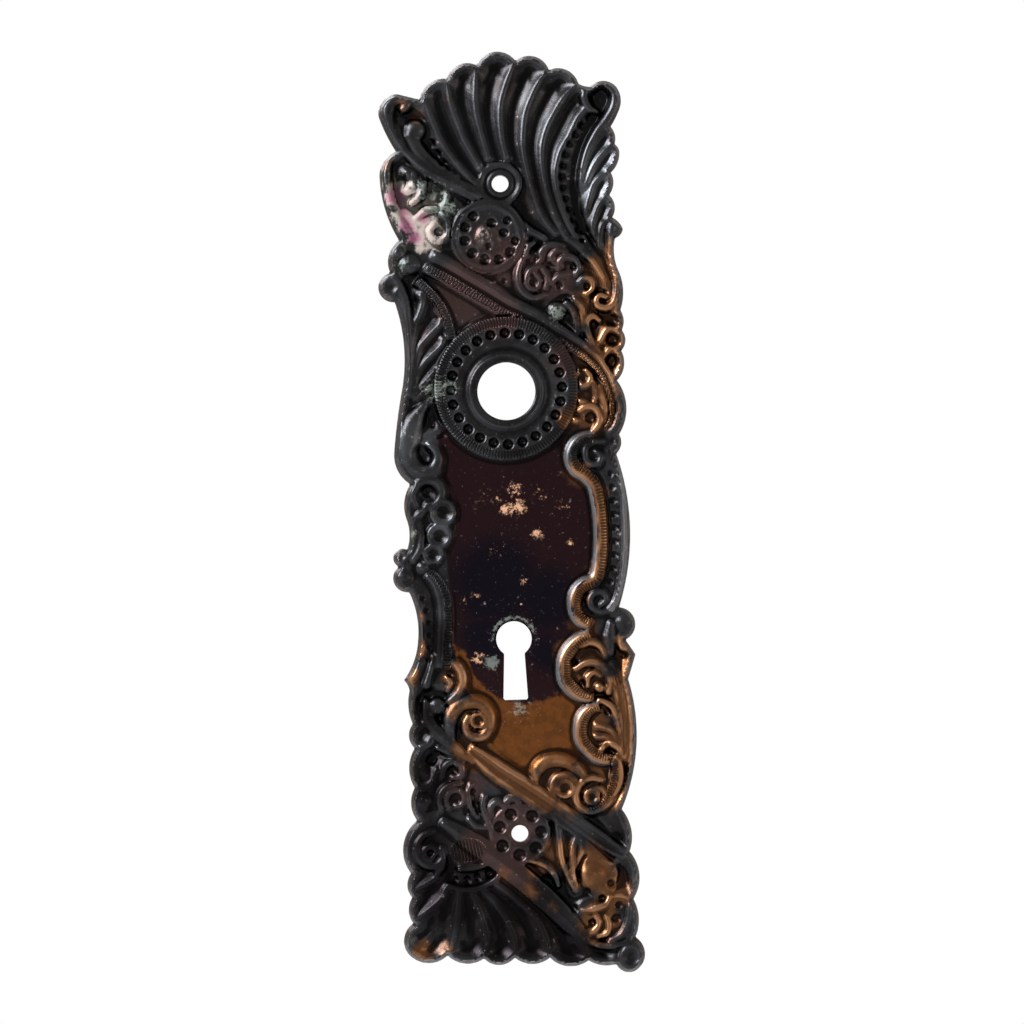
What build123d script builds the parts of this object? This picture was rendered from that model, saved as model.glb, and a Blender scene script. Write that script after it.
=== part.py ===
"""A rococo door plate cast in bronze with a hollow back, in millimetres.

The relief is modelled lying down: X to the right, Y up the plate, Z out of the door. The last step
stands it up with its front to -Y and +Z up the plate. The origin is the knob hole's centre on the door.
"""
from build123d import *
import math
import os

# Levels above the door, and the section of the rim
WALL = 1.6
GROUND = 3.4
FIELD_DROP = 0.65
SHOULDER_HEIGHT = 2.5
SHOULDER_INSET = 0.9
CREST_INSET = 1.7
CAVITY_MARGIN = 1.9
CAVITY_SLOPE = 1.1
BRIDGED_LOBE = 9.0
POCKET_SLOPE = 0.5
ROOT = 0.7

# How finely curves are divided into flats
TURN_SAMPLES = 24
SECTION_TURN = 32
DIMPLE_SIDES = 8
PELLET_SIDES = 12

# Holes
KNOB_HOLE_RADIUS = 7.5
LIP_WIDTH = 1.7
LIP_HEIGHT = 4.75
SCREW_HOLE_RADIUS = 2.2
UPPER_SCREW_HEIGHT = 53.8
SCREW_SPACING = 168.4
DISH_RADIUS = 5.2
DISH_FLOOR_RADIUS = 3.2
DISH_DEPTH = 0.45
KEYHOLE_DROP = 64.2
KEYHOLE_RADIUS = 4.6
KEYHOLE_LENGTH = 20.4
KEYHOLE_NECK_HALF = 2.65
KEYHOLE_FOOT_HALF = 3.2
KEYHOLE_BEVEL = 0.4

# Rosette round the knob hole
ROSETTE_RADIUS = 18.9
ROSETTE_HEIGHT = 4.1
RING_RISE = 0.7
COLLAR_RADIUS = 12.6
COLLAR_HEIGHT = 3.85
HOLLOW_RADIUS = 10.8
HOLLOW_HEIGHT = 3.6
ROSETTE_DIMPLES = 24
ROSETTE_DIMPLE_CIRCLE = 14.4
ROSETTE_DIMPLE_RADIUS = 1.3
FLOWER_DIMPLES = 7
FLOWER_CIRCLE = 5.6
FLOWER_DIMPLE_RADIUS = 1.7
FLOWER_TURN = 3
DIMPLE_STEEPNESS = 0.6
PELLET_SHOULDER = 0.6
CUP_LIP = 0.72

# Outline, clockwise from the notch under the left volute: each arc is a point it passes and its end
OUTLINE_START = (-26.8, 63.2)
LEFT_VOLUTE = [((-29.1, 67.5), (-30.9, 72)), ((-29.8, 76.3), (-26, 78)), ((-23.5, 77.3), (-20.2, 76.4))]
SHELL_LOBES = [
    ((-17.9, 80.3), (-13.1, 81.6)), ((-10.4, 84.8), (-5.2, 84.9)), ((-0.2, 88.2), (5, 85.7)),
    ((9.8, 86.7), (13.6, 83)), ((18, 83), (21.1, 79.3)), ((22.6, 78.6), (24.2, 78.4)),
]
RIGHT_VOLUTE = [((27.3, 79.8), (30.8, 78.3)), ((32, 74.8), (31.5, 72.3)), ((30.4, 70), (29.1, 67.9))]
RIGHT_LEAF = [
    ((30.2, 65.6), (30, 63.3)), ((30.8, 62.5), (31.2, 61.5)), ((30.7, 58.6), (28.8, 56)),
    ((29.4, 53), (28.2, 50.2)), ((29.6, 47.1), (28.8, 44.3)), ((30.4, 43.1), (31.5, 41.2)),
    ((30.9, 39.9), (29.4, 39)), ((29, 35.5), (29.8, 31)), ((31.1, 25.2), (30.2, 20.2)),
]
RIGHT_SCALLOPS = [
    ((31, 17.5), (30.4, 15)), ((31.3, 12.5), (30.1, 9.7)), ((30.8, 6.3), (28.8, 2)),
    ((31, -4.5), (28.9, -12)), ((29.4, -14.2), (28, -17)),
]
RIGHT_FRAME = [
    ((31, -35.5), (27.5, -56.9)), ((31.6, -61.5), (28.9, -65.3)), ((30.4, -67.6), (31.4, -69.2)),
    ((30.7, -71.4), (29.3, -75.5)), ((31.1, -90), (26.6, -109.3)),
]
RIGHT_FOOT = [
    ((29, -115), (28.3, -120.3)), ((30.7, -127), (28.9, -132.6)), ((30.2, -138), (29.1, -142.6)),
    ((31.5, -147.2), (28.3, -151.5)), ((25.9, -151.3), (24, -149.4)),
]
FOOT_LOBES = [
    ((20.6, -149.6), (16.8, -148.2)), ((12, -149.6), (6.8, -147.2)), ((2.2, -148.7), (-2.3, -146.9)),
    ((-6.2, -148.7), (-10.3, -146.9)), ((-14.9, -148.1), (-19.7, -145.8)),
    ((-25.4, -147.6), (-30, -144.9)), ((-30.9, -141.5), (-28.3, -137.3)),
]
LEFT_LOBES = [
    ((-29.4, -134.2), (-28.4, -130.5)), ((-29.6, -127.5), (-28.5, -124.3)),
    ((-30.4, -117.6), (-26.5, -110.6)), ((-28, -106.2), (-26.9, -102.1)),
    ((-28.2, -97.2), (-26.6, -91.8)), ((-28, -88.8), (-26.9, -85.5)),
    ((-27.9, -81.3), (-27.5, -77)), ((-28, -75.2), (-28.9, -74.1)),
]
LEFT_WAIST = [
    ((-26.3, -69.7), (-24.9, -64)), ((-25, -57.4), (-26.8, -51.3)), ((-30.8, -48.2), (-29.3, -44.6)),
    ((-30.2, -41), (-27, -40.3)), ((-26.3, -37.2), (-26.9, -32.4)), ((-27.4, -28.2), (-25.7, -23.3)),
    ((-28.9, -19.5), (-29.6, -15)), ((-28.5, -6.6), (-26.9, 2)), ((-26.2, 12.4), (-28.3, 24.1)),
    ((-32.4, 28.2), (-29.2, 31.7)), ((-29.6, 35.6), (-26.7, 40.1)), ((-29.9, 47.7), (-31.2, 56)),
    ((-30.4, 60), (-26.8, 63.2)),
]
OUTLINE = (
    LEFT_VOLUTE + SHELL_LOBES + RIGHT_VOLUTE + RIGHT_LEAF + RIGHT_SCALLOPS + RIGHT_FRAME + RIGHT_FOOT
    + FOOT_LOBES + LEFT_LOBES + LEFT_WAIST
)

# Flat field round the keyhole, clockwise from its top left, and the small three-cornered field
FIELD_START = (-16.2, -9)
FIELD = [
    ((-17.4, -13), (-16.2, -17)), ((-16.9, -20.5), (-15.5, -24)), ((-13.9, -28), (-13.6, -32)),
    ((-14, -37), (-16.3, -41)), ((-15.6, -50), (-15.3, -60)), ((-15.1, -66), (-13.6, -71)),
    ((-12.6, -76), (-9.4, -79.4)), ((-5.6, -84), (-7.6, -90)), ((-3, -95), (3, -98.6)),
    ((7.5, -95.6), (13, -96.6)), ((15.6, -94.5), (14.8, -88.5)), ((15.4, -84.5), (17.3, -81.8)),
    ((12.2, -77.5), (10.8, -72.5)), ((12.4, -66.6), (16.4, -62.6)), ((14.4, -56), (18.6, -50.6)),
    ((22.4, -38), (20.4, -24.4)), ((16, -21), (14.3, -16.5)), ((14.6, -12), (16.4, -8.6)),
    ((0, 0), (-16.2, -9)),
]
TRIANGLE_START = (-20.8, 30.2)
TRIANGLE = [((-12.4, 26.4), (-4, 20.4)), ((-8.4, 18.6), (-12.4, 14.6)), ((-14.6, 23), (-20.8, 30.2))]

# Hollow flutes: points along the floor from the rim inwards, widths and depths there
TOP_FLUTES = [
    ([(-24, 60.5), (-17, 57), (-9, 53.5)], (1.4, 2.6, 0.8), (0.3, 0.5, 0.1)),
    ([(-17.8, 82.5), (-14.5, 73), (-11.2, 65), (-5.6, 56.6)], (7, 5.2, 3.6, 1), (1.1, 1, 0.8, 0.1)),
    ([(-9.6, 87.5), (-8.9, 77), (-7.3, 68), (-3.9, 58.6)], (7.4, 6, 4, 1.2), (1.2, 1.1, 0.8, 0.1)),
    ([(-0.6, 90.5), (-1.8, 79), (-2.3, 69), (-0.8, 59.6)], (9, 6.8, 5, 1.4), (1.3, 1.2, 0.9, 0.1)),
    ([(9.8, 88.6), (5.6, 77), (3.6, 67), (3.8, 58.8)], (8, 5.8, 4.8, 1.6), (1.2, 1.1, 0.9, 0.1)),
    (
        [(18.6, 84.4), (12.4, 76), (9, 67), (8.6, 57), (11, 47), (15, 39.6)],
        (7, 5, 4.2, 3.8, 3, 0.8), (1.1, 1, 0.9, 0.8, 0.7, 0.1),
    ),
    (
        [(23.4, 79), (16.6, 71.4), (13, 63.4), (12.4, 55), (14.2, 46), (18, 38.6)],
        (5, 3.6, 3.1, 2.9, 2.4, 0.8), (0.9, 0.8, 0.8, 0.7, 0.6, 0.1),
    ),
    (
        [(26.8, 72.6), (22.2, 64.6), (19.5, 56), (19.8, 47), (22.6, 38), (26.6, 30)],
        (1.4, 2.4, 2.6, 2.5, 2.2, 1), (0.3, 0.9, 1, 1, 0.8, 0.2),
    ),
]
BOTTOM_FLUTES = [
    ([(-30.6, -145.4), (-22.5, -137), (-16, -130.4)], (10, 5.6, 1.4), (1.1, 0.9, 0.1)),
    ([(-15.4, -149.6), (-14.3, -141), (-14, -131)], (7, 5.4, 1.6), (1, 0.9, 0.1)),
    ([(-6, -150), (-7, -141), (-10.6, -131)], (6.6, 5, 1.6), (1, 0.9, 0.1)),
    ([(2.4, -150), (0.4, -140), (-6.4, -129.6)], (7, 5.4, 1.6), (1, 0.9, 0.1)),
    ([(11.8, -151), (7.4, -140.6), (-2.6, -128)], (8, 5.6, 1.6), (1, 0.9, 0.1)),
]
LEAF_SPOONS = [
    ([(-21.6, 27), (-22.6, 21), (-24, 9)], (3, 2.2, 0.8), (0.8, 0.7, 0.1)),
    ([(-17.6, 22.4), (-20.4, 16), (-23.7, 5)], (3.2, 2.5, 0.8), (0.8, 0.7, 0.1)),
    ([(-16.4, 14.6), (-19.8, 9.8), (-23.6, 1.6)], (3, 2.6, 0.8), (0.8, 0.7, 0.1)),
    ([(-16, 8.4), (-19.6, 4.8), (-23.6, -0.6)], (2.6, 2.3, 0.8), (0.7, 0.6, 0.1)),
    ([(-16, 1.6), (-19.4, 0.4), (-23, -1.8)], (2.2, 2, 0.8), (0.6, 0.5, 0.1)),
]
RIGHT_LEAF_SPOONS = [
    ([(31, 66.4), (27, 63.6), (23, 57)], (3.2, 2.4, 0.8), (0.7, 0.6, 0.1)),
    ([(31.4, 59.6), (27.4, 58.4), (23.6, 51.6)], (3.6, 2.6, 0.8), (0.7, 0.6, 0.1)),
    ([(30.6, 53.2), (27.2, 51), (23.8, 45.6)], (3.4, 2.4, 0.8), (0.7, 0.6, 0.1)),
    ([(30.4, 47), (27.4, 45.4), (25, 40)], (3.2, 2.2, 0.8), (0.7, 0.6, 0.1)),
]
FLUTES = TOP_FLUTES + BOTTOM_FLUTES + LEAF_SPOONS + RIGHT_LEAF_SPOONS

# Raised strokes: points along the crest, widths and rises above the ground there
STEMS = [
    (
        [(-24.6, 63.4), (-18, 57.8), (-10, 53), (0, 46.8), (10, 40.4)],
        (1, 2.6, 2.8, 2.6, 1), (0.2, 0.7, 0.7, 0.7, 0.2),
    ),
    ([(30.6, 77), (30, 71.6), (26.4, 66), (22.4, 60.6)], (0.8, 2, 2, 0.8), (0.2, 0.8, 0.7, 0.2)),
    ([(18.6, 38), (22.4, 33.8), (25.4, 29.6), (27, 25)], (1, 2.4, 2.2, 1), (0.2, 0.8, 0.8, 0.2)),
    ([(-22.8, 66.8), (-20.4, 62.4), (-16.6, 58.8), (-11, 55.8)], (2.4, 2.4, 2, 1), (0.8, 0.7, 0.5, 0.2)),
    ([(29.2, -74), (29.8, -86), (29.2, -99), (25.8, -108)], (1, 1.6, 1.6, 1), (0.2, 0.7, 0.7, 0.2)),
    ([(-27.6, 60), (-28.8, 54), (-27.4, 47.4), (-24.4, 42)], (1, 1.8, 1.8, 1), (0.2, 0.7, 0.7, 0.2)),
    ([(-26.4, 24.6), (-24.8, 18), (-24.6, 9), (-25, 0)], (1, 1.6, 1.6, 1), (0.2, 0.6, 0.6, 0.2)),
    ([(-25.4, -53), (-23.8, -60), (-24.4, -68)], (0.9, 1.4, 0.9), (0.2, 0.6, 0.2)),
    ([(-23.4, -79.6), (-20.8, -87.4), (-11.6, -95.4)], (1, 2.6, 1.2), (0.3, 0.7, 0.3)),
    ([(4.4, -101.4), (6.6, -96.6), (12.8, -96.4), (17.4, -100.8)], (1.4, 3.2, 3, 1.6), (0.5, 1, 1, 0.5)),
    (
        [(-16.9, -89.5), (-16.4, -82.9), (-11, -80.1), (-6.9, -84.8), (-10.8, -89.4), (-12.4, -83.9)],
        (1.6, 3.2, 3.2, 3, 2, 1.2), (0.5, 1, 1, 1, 0.8, 0.5),
    ),
    ([(-17.6, -69.8), (-13.9, -72.2), (-14.8, -77.8), (-17.2, -79.8)], (1.2, 2.2, 2.1, 1.2),
    (0.5, 0.9, 0.9, 0.4)),
]

# Finer leaves and tendrils: points along the crest and width
FOLIAGE = [
    ([(9.4, 33.6), (10.4, 36.2), (13, 37.6), (16, 37.2)], 1.4),
    ([(14.4, 31.4), (16.8, 34.4), (19.8, 31.4), (19, 29.8)], 1.5),
    ([(19.8, 27.6), (21, 28.7), (23, 25.8), (21.4, 24.6)], 1.3),
    ([(16.2, 22.6), (18.7, 17), (18.9, 14.6)], 1.5),
    ([(24.6, 17.6), (21.4, 17.4), (22.8, 11.6), (24.8, 8.8)], 1.4),
    ([(18.6, -5.6), (22.6, -4.9), (23.8, -9), (22.4, -10.8)], 1.7),
    ([(24.3, 0.6), (25.4, -5.4), (25, -8.6)], 1.5),
    ([(15.6, -72.4), (21.4, -71.2), (24.6, -76), (24, -78.8)], 2),
    ([(21.6, -80.6), (26, -85), (26.8, -89)], 1.5),
    ([(-26.2, -98.4), (-25.2, -92), (-22.4, -90.6)], 2.2),
    ([(-9, -104.6), (-9.4, -107.6), (-7.8, -113)], 1.3),
    ([(-12.4, -101.6), (-13, -104.4), (-10.8, -110)], 1.2),
    ([(-19, -127.4), (-12, -128.6), (-6, -125.8)], 1.2),
    ([(9.6, -112.6), (10.8, -122), (14, -130)], 1.3),
    ([(20.6, -118.6), (26.2, -124), (27, -127.6)], 1.4),
    ([(15.6, -135), (21.4, -133.6), (22.9, -131.6)], 1.8),
    ([(22.6, -143), (27.4, -138), (27.8, -134)], 1.5),
]
FOLIAGE_RISE = 0.5
TENDRIL_TIP = 0.55

# Mouldings: points along them, shares of the full width there, and which section they carry
BANDS = [
    (
        [(-20.8, 33.2), (-15, 29.9), (-10, 26.7), (-5, 23.6), (0, 20.4), (5, 17.9), (10, 15),
         (15, 12.1), (19, 9.5),
         (22.4, 6.6), (25, 3), (26.6, -1), (27.3, -5), (26.6, -8.8), (24.6, -11.2)],
        (1, 1, 1, 1, 1, 0.95, 0.92, 0.82, 0.72, 0.6, 0.5, 0.44, 0.4, 0.38, 0.36), "hatched band",
    ),
    ([(-22.6, 29.6), (-16.4, 22.6), (-13.7, 13.6)], (1, 1, 1), "leaf border"),
    (
        [(-13, -91.6), (0, -101.8), (12, -110.5), (24, -119), (28, -121.5)],
        (0.5, 1, 1, 0.9, 0.5), "double band",
    ),
    ([(-21, -110.5), (-10, -118.2), (0, -126.2), (9, -134.8), (17, -143.5)], (0.4, 1, 1, 1, 0.5),
    "swelling band"),
]
FRAMES = [
    (
        [(23, -12.7), (17.8, -13.5), (16, -18.3), (19.6, -22.6), (22.5, -29), (23, -40),
         (21.4, -49), (16.4, -52.4),
         (16, -58), (20.6, -61.9)],
        (0.9, 1, 1, 1, 1, 1, 1, 1, 1, 0.9), "frame",
    ),
    ([(20, -63), (14.4, -66.8), (12.3, -72.5), (14.5, -78), (20.5, -80.8)], (0.7, 1, 1, 1, 0.7), "frame"),
    ([(22, -81.8), (17, -84.8), (16.3, -90.3), (19.8, -95.3), (25, -96.3)], (0.7, 1, 1, 1, 0.7), "frame"),
    ([(27.4, -15.4), (29, -25), (29.3, -38), (28.2, -50), (24.4, -58)], (1, 1, 1, 1, 1), "rail"),
    ([(25, -94.6), (26.8, -100), (24, -106.8), (17.4, -110)], (0.6, 1, 0.9, 0.5), "foot"),
    ([(-22.5, -46.5), (-18.9, -52.5), (-18.7, -62), (-19.4, -71.6)], (0.7, 1, 1, 1), "pleated frame"),
]

# Moulding sections: offsets to the left of the travel and rises above the ground, from foot to foot
SECTIONS = {
    "hatched band": [
        (-2.1, -ROOT), (-1.2, 0.35), (0.8, 0.5), (1.3, -0.15), (2.2, -0.1), (3.5, 0.75),
        (4.7, 0.5), (5.6, -ROOT),
    ],
    "leaf border": [(-1.5, -ROOT), (-0.8, 0.35), (0.6, 0.4), (1.5, -ROOT)],
    "double band": [(-3.4, -ROOT), (-2.7, 0.3), (-1.6, 0.7), (0, 0.2), (1.6, 0.85), (2.6, 0.4),
    (3.2, -ROOT)],
    "swelling band": [(-3.2, -ROOT), (-2.6, 0.2), (-1.3, 0.7), (0.2, 0.95), (1.6, 0.6),
    (2.7, 0.35), (3.4, -ROOT)],
    "frame": [(-1.9, -ROOT), (-1.2, 0.2), (-0.5, 0.85), (0.6, 0.8), (1.9, 0.35), (2.5, -ROOT)],
    "rail": [(-1.4, -ROOT), (-0.7, 0.5), (-0.1, 0.7), (0.7, 0.5), (1.1, -ROOT)],
    "foot": [(-3.2, -ROOT), (-2.3, 0.3), (-0.9, 0.5), (0, 0.75), (0.8, 0.3), (1.2, -ROOT)],
    "pleated frame": [(-1.8, -ROOT), (-1, 0.3), (-0.3, 0.8), (0.6, 0.6), (2.4, 0.1), (3, -ROOT)],
}

# Scrolls: centre, start angle, sweep and first radius, the share of the radius left at the end, width
SCROLLS = [
    ((-26.3, 73.2), 225, -300, 3.3, 0.4, 2.3),
    ((26.8, 75.6), 60, 270, 3.8, 0.75, 1.8),
    ((25.6, 22.4), 20, -300, 3.3, 0.35, 1.6),
    ((-22.2, -15.6), 110, 290, 4.8, 0.5, 3.2),
    ((-21, -25.5), 330, 280, 3.4, 0.6, 2),
    ((22.2, -17.4), 60, 300, 3.1, 0.45, 1.5),
    ((22.3, -55), 300, -300, 3.1, 0.45, 1.5),
    ((18.6, -105.4), 40, 300, 4.2, 0.6, 1.7),
    ((-16.8, -105.4), 320, -300, 4.2, 0.4, 1.5),
    ((-23, -118.8), 90, 300, 4, 0.5, 1.7),
    ((7.6, 28.6), 320, -280, 4.8, 0.4, 1.5),
    ((20, -6.4), 100, 170, 4, 0.8, 1.5),
]
SCROLL_RISE = 0.8

# Pellets: centre, radius and height above the ground
PELLETS = [
    ((28.7, -60.8), 2.6, 0.9), ((-27.8, -47.4), 2.2, 0.8), ((18.5, -126.4), 3.8, 1),
    ((-24.2, 33.6), 2.8, 0.9),
    ((-21.6, 68.3), 2.8, 0.9), ((21.8, -77.4), 1.7, 0.8), ((13.8, 20.4), 2.4, 0.6),
]

# Cups with a raised lip: centre, radius and rise of the lip
CUPS = [
    ((-17.3, -30.9), 3.2, 0.7), ((-18.5, -36.9), 3, 0.7), ((-20.2, -41.7), 2.5, 0.7), ((-9.9, -85), 2, 0.6),
    ((12, -103.2), 2.4, 0.6), ((27.9, -147.3), 2.7, 0.7), ((-29.3, 27.9), 2.3, 0.6),
]

# Rows of small dimples: points along the row, how many and their radius
DIMPLE_ROWS = [
    ([(23.8, 70.2), (18, 63), (16.1, 54), (18, 45.7), (20.8, 38.5)], 13, 0.95),
    ([(26.4, -22), (26.9, -38), (25.4, -50)], 9, 0.95),
    ([(-17.8, 64.8), (-14.8, 59.6), (-11.8, 56.6)], 5, 0.9),
]

# Single hollows: centre and radius
HOLLOWS = [
    ((-25, 55), 2), ((28.2, 17.3), 1.8), ((28, 12.5), 1.8), ((27.6, 7.2), 1.7), ((-22.4, -16.2),
    2.2), ((-22.2, -95), 1.2),
    ((24.4, -137.2), 1.2), ((-14, -126.2), 1), ((-11.2, -125.7), 1),
]
MEDALLION_CENTRE = (-3.4, 40.2)
MEDALLION_RADIUS = 8.3
MEDALLION_RIM = 1.1
MEDALLION_RISE = 0.6
MEDALLION_DIMPLES = 9
MEDALLION_DIMPLE_CIRCLE = 5.3
MEDALLION_DIMPLE_RADIUS = 0.95


def travel(start, through, end):
    """The direction of travel of a three-point arc at its start, middle point and end."""
    edge = ThreePointArc(start, through, end).edge()
    middle = edge.param_at_point(Vector(*through))
    return [edge.tangent_at(at) for at in (0, middle, 1)]


def stepped(point, *directions, by):
    """A point moved to the right of the mean direction of travel."""
    mean = sum(directions, Vector(0, 0, 0)).normalized()
    return (point[0] + by * mean.Y, point[1] - by * mean.X)


def stepped_wire(start, arcs, step, height, bridged=0):
    """A closed chain of arcs moved to the right of its travel; arcs shorter than bridged become straight."""
    starts = [start] + [end for _, end in arcs[:-1]]
    ways = [travel(begin, through, end) for begin, (through, end) in zip(starts, arcs)]
    joints = []
    for begin, before, after in zip(starts, ways[-1:] + ways, ways):
        joints.append(stepped(begin, before[2], after[0], by=step))
    edges = []
    for index, (through, _) in enumerate(arcs):
        here, there = joints[index], joints[(index + 1) % len(joints)]
        if math.dist(here, there) < bridged:
            edges.append(Line(here, there).edge())
        else:
            edges.append(ThreePointArc(here, stepped(through, ways[index][1], by=step), there).edge())
    return Pos(0, 0, height) * Wire(edges)


def rim_wire(inset, height, bridged=0):
    """The plate's outline, stepped in and lifted."""
    return stepped_wire(OUTLINE_START, OUTLINE, inset, height, bridged)


def crown_radius(width, rise):
    """The radius of the circle whose cap has this width and height."""
    return (width ** 2 / 4 + rise ** 2) / (2 * rise)


def cap_section(width, rise, flats):
    """The corners of a circle's cap drawn with this many flats, and of the root that it stands on."""
    radius = crown_radius(width, rise)
    half_angle = math.atan2(width / 2, radius - rise)
    corners = [(-width / 2, -ROOT)]
    for index in range(flats + 1):
        angle = half_angle * (2 * index / flats - 1)
        corners.append((radius * math.sin(angle), radius * math.cos(angle) - radius + rise))
    return corners + [(width / 2, -ROOT)]


def share_along(points):
    """How far along the chords between the points each point lies, from 0 to 1."""
    steps = [math.dist(here, there) for here, there in zip(points, points[1:])]
    return [sum(steps[:index]) / sum(steps) for index in range(len(points))]


def between(shares, values, share):
    """The value at this share of the way, in a straight line from one given value to the next."""
    for left, right, low, high in zip(shares, shares[1:], values, values[1:]):
        if share <= right:
            return low + (high - low) * (share - left) / (right - left)
    return values[-1]


def swept(points, section, least):
    """A solid whose section, given for a share of the way, follows the smooth curve through the points."""
    spine = Spline(*points).edge()
    ways = [spine.tangent_at(index / TURN_SAMPLES) for index in range(TURN_SAMPLES + 1)]
    turn = sum(here.get_angle(there) for here, there in zip(ways, ways[1:]))
    count = max(least, 2 + int(turn / SECTION_TURN))
    wires = []
    for index in range(count):
        share = index / (count - 1)
        place, along = spine.position_at(share), spine.tangent_at(share)
        plane = Plane(origin=(place.X, place.Y, GROUND), x_dir=(-along.Y, along.X, 0), z_dir=along)
        wires.append(plane * Wire.make_polygon(section(share)))
    return Solid.make_loft(wires, ruled=True)


def stroke(points, widths, rises, side=1, flats=3):
    """A tapered bar on the smooth curve through the points, domed: side 1 stands up, -1 hangs down."""
    shares = share_along(points)

    def section(share):
        corners = cap_section(between(shares, widths, share), between(shares, rises, share), flats)
        return [(x, side * y) for x, y in corners]

    return swept(points, section, len(points))


def tendril(points, width):
    """A fine ridge that thins out at both ends."""
    widths = [width * TENDRIL_TIP] + [width] * (len(points) - 2) + [width * TENDRIL_TIP]
    return stroke(points, widths, [FOLIAGE_RISE * wide / width + 0.1 for wide in widths], flats=2)


def moulding(points, widths, name):
    """A band of one section on the smooth curve through the points, wider or narrower along it."""
    shares = share_along(points)
    return swept(points, lambda share: [
        (between(shares, widths, share) * offset, rise) for offset, rise in SECTIONS[name]
    ], len(points))


def scroll_points(centre, start_angle, sweep, radius, share, step=45):
    """Points along a spiral whose radius shrinks evenly with the angle to the given share."""
    count = max(3, round(abs(sweep) / step) + 1)
    points = []
    for index in range(count):
        part = index / (count - 1)
        angle = math.radians(start_angle + sweep * part)
        reach = radius * (1 + (share - 1) * part)
        points.append((centre[0] + reach * math.cos(angle), centre[1] + reach * math.sin(angle)))
    return points


def scroll(centre, start_angle, sweep, radius, share, width):
    """A raised spiral that is fine at its tail and full where it curls up."""
    points = scroll_points(centre, start_angle, sweep, radius, share)
    count = len(points)
    shares = [min(1, index / (count - 1) * 1.4 + 0.1) for index in range(count)]
    fullness = [0.5 + 0.5 * math.sin(math.pi * share / 2) for share in shares]
    widths = [width * full for full in fullness]
    rises = [SCROLL_RISE * full for full in fullness]
    return stroke(points, widths, rises)


def turned(corners):
    """A solid turned about the upright axis from the corners of its half section."""
    points = [(radius, 0, height) for radius, height in corners]
    return revolve(Face(Wire.make_polygon(points)), Axis.Z)


def ring_wire(radius, height, sides):
    """A regular polygon round the upright axis at this height."""
    return Pos(0, 0, height) * Wire.make_polygon([
        (radius * math.cos(math.tau * side / sides), radius * math.sin(math.tau * side / sides))
        for side in range(sides)
    ])


def cap(centre, radius, rise):
    """A pellet of this radius and rise, cut in flats and rooted in the ground."""
    return Pos(*centre) * Solid.make_loft([
        ring_wire(radius, GROUND - ROOT, PELLET_SIDES), ring_wire(radius, GROUND, PELLET_SIDES),
        ring_wire(PELLET_SHOULDER * radius, GROUND + 0.8 * rise, PELLET_SIDES), Vertex(0, 0, GROUND + rise),
    ], ruled=True)


def cup(centre, radius, rise):
    """The body of a cup, cut in flats and rooted in the ground; its bowl is pressed in with the dimples."""
    return Pos(*centre) * Solid.make_loft([
        ring_wire(radius, GROUND - ROOT, PELLET_SIDES), ring_wire(radius, GROUND, PELLET_SIDES),
        ring_wire(0.88 * radius, GROUND + rise, PELLET_SIDES),
    ], ruled=True)


def dimple(centre, radius, level):
    """A many-sided point that presses a dimple of this radius into the level."""
    depth = DIMPLE_STEEPNESS * radius
    wide = radius * (1 + ROOT / depth)
    point = Vertex(0, 0, level - depth)
    return Pos(*centre) * Solid.make_loft([point, ring_wire(wide, level + ROOT, DIMPLE_SIDES)], ruled=True)


def row_of_dimples(points, count, radius):
    """Equal dimples in the ground, evenly along the smooth curve through the points."""
    row = Spline(*points).edge()
    places = [row.position_at(index / (count - 1)) for index in range(count)]
    return [dimple((place.X, place.Y), radius, GROUND) for place in places]


def ring_of_dimples(centre, count, circle, radius, level, start_angle=90):
    """Round dimples spaced evenly on a circle."""
    dimples = []
    for index in range(count):
        angle = math.radians(start_angle + 360 * index / count)
        place = (centre[0] + circle * math.cos(angle), centre[1] + circle * math.sin(angle))
        dimples.append(dimple(place, radius, level))
    return dimples


def pocket(start, arcs, floor):
    """A sunk field with sloping walls, from its floor up past the ground."""
    lift = GROUND + ROOT - floor
    top = stepped_wire(start, arcs, POCKET_SLOPE * lift, floor + lift)
    return Solid.make_loft([stepped_wire(start, arcs, 0, floor), top], ruled=True)


def rosette():
    """The collar round the knob hole with its bead and hollow, and the raised ring of dimples round it."""
    lip = KNOB_HOLE_RADIUS + LIP_WIDTH
    foot = GROUND - FIELD_DROP - ROOT / 2
    collar = turned([
        (KNOB_HOLE_RADIUS, foot), (KNOB_HOLE_RADIUS, LIP_HEIGHT - LIP_WIDTH / 2),
        (lip - LIP_WIDTH / 2, LIP_HEIGHT), (lip, LIP_HEIGHT), (HOLLOW_RADIUS, HOLLOW_HEIGHT),
        (COLLAR_RADIUS, COLLAR_HEIGHT), (COLLAR_RADIUS, foot),
    ])
    inner = COLLAR_RADIUS - 2 * RING_RISE
    ring = turned([
        (inner, foot), (inner, HOLLOW_HEIGHT),
        (ROSETTE_DIMPLE_CIRCLE - ROSETTE_DIMPLE_RADIUS, ROSETTE_HEIGHT),
        (ROSETTE_RADIUS - POCKET_SLOPE, ROSETTE_HEIGHT), (ROSETTE_RADIUS, foot),
    ])
    return [collar, Pos(0, RING_RISE) * ring]


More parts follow.
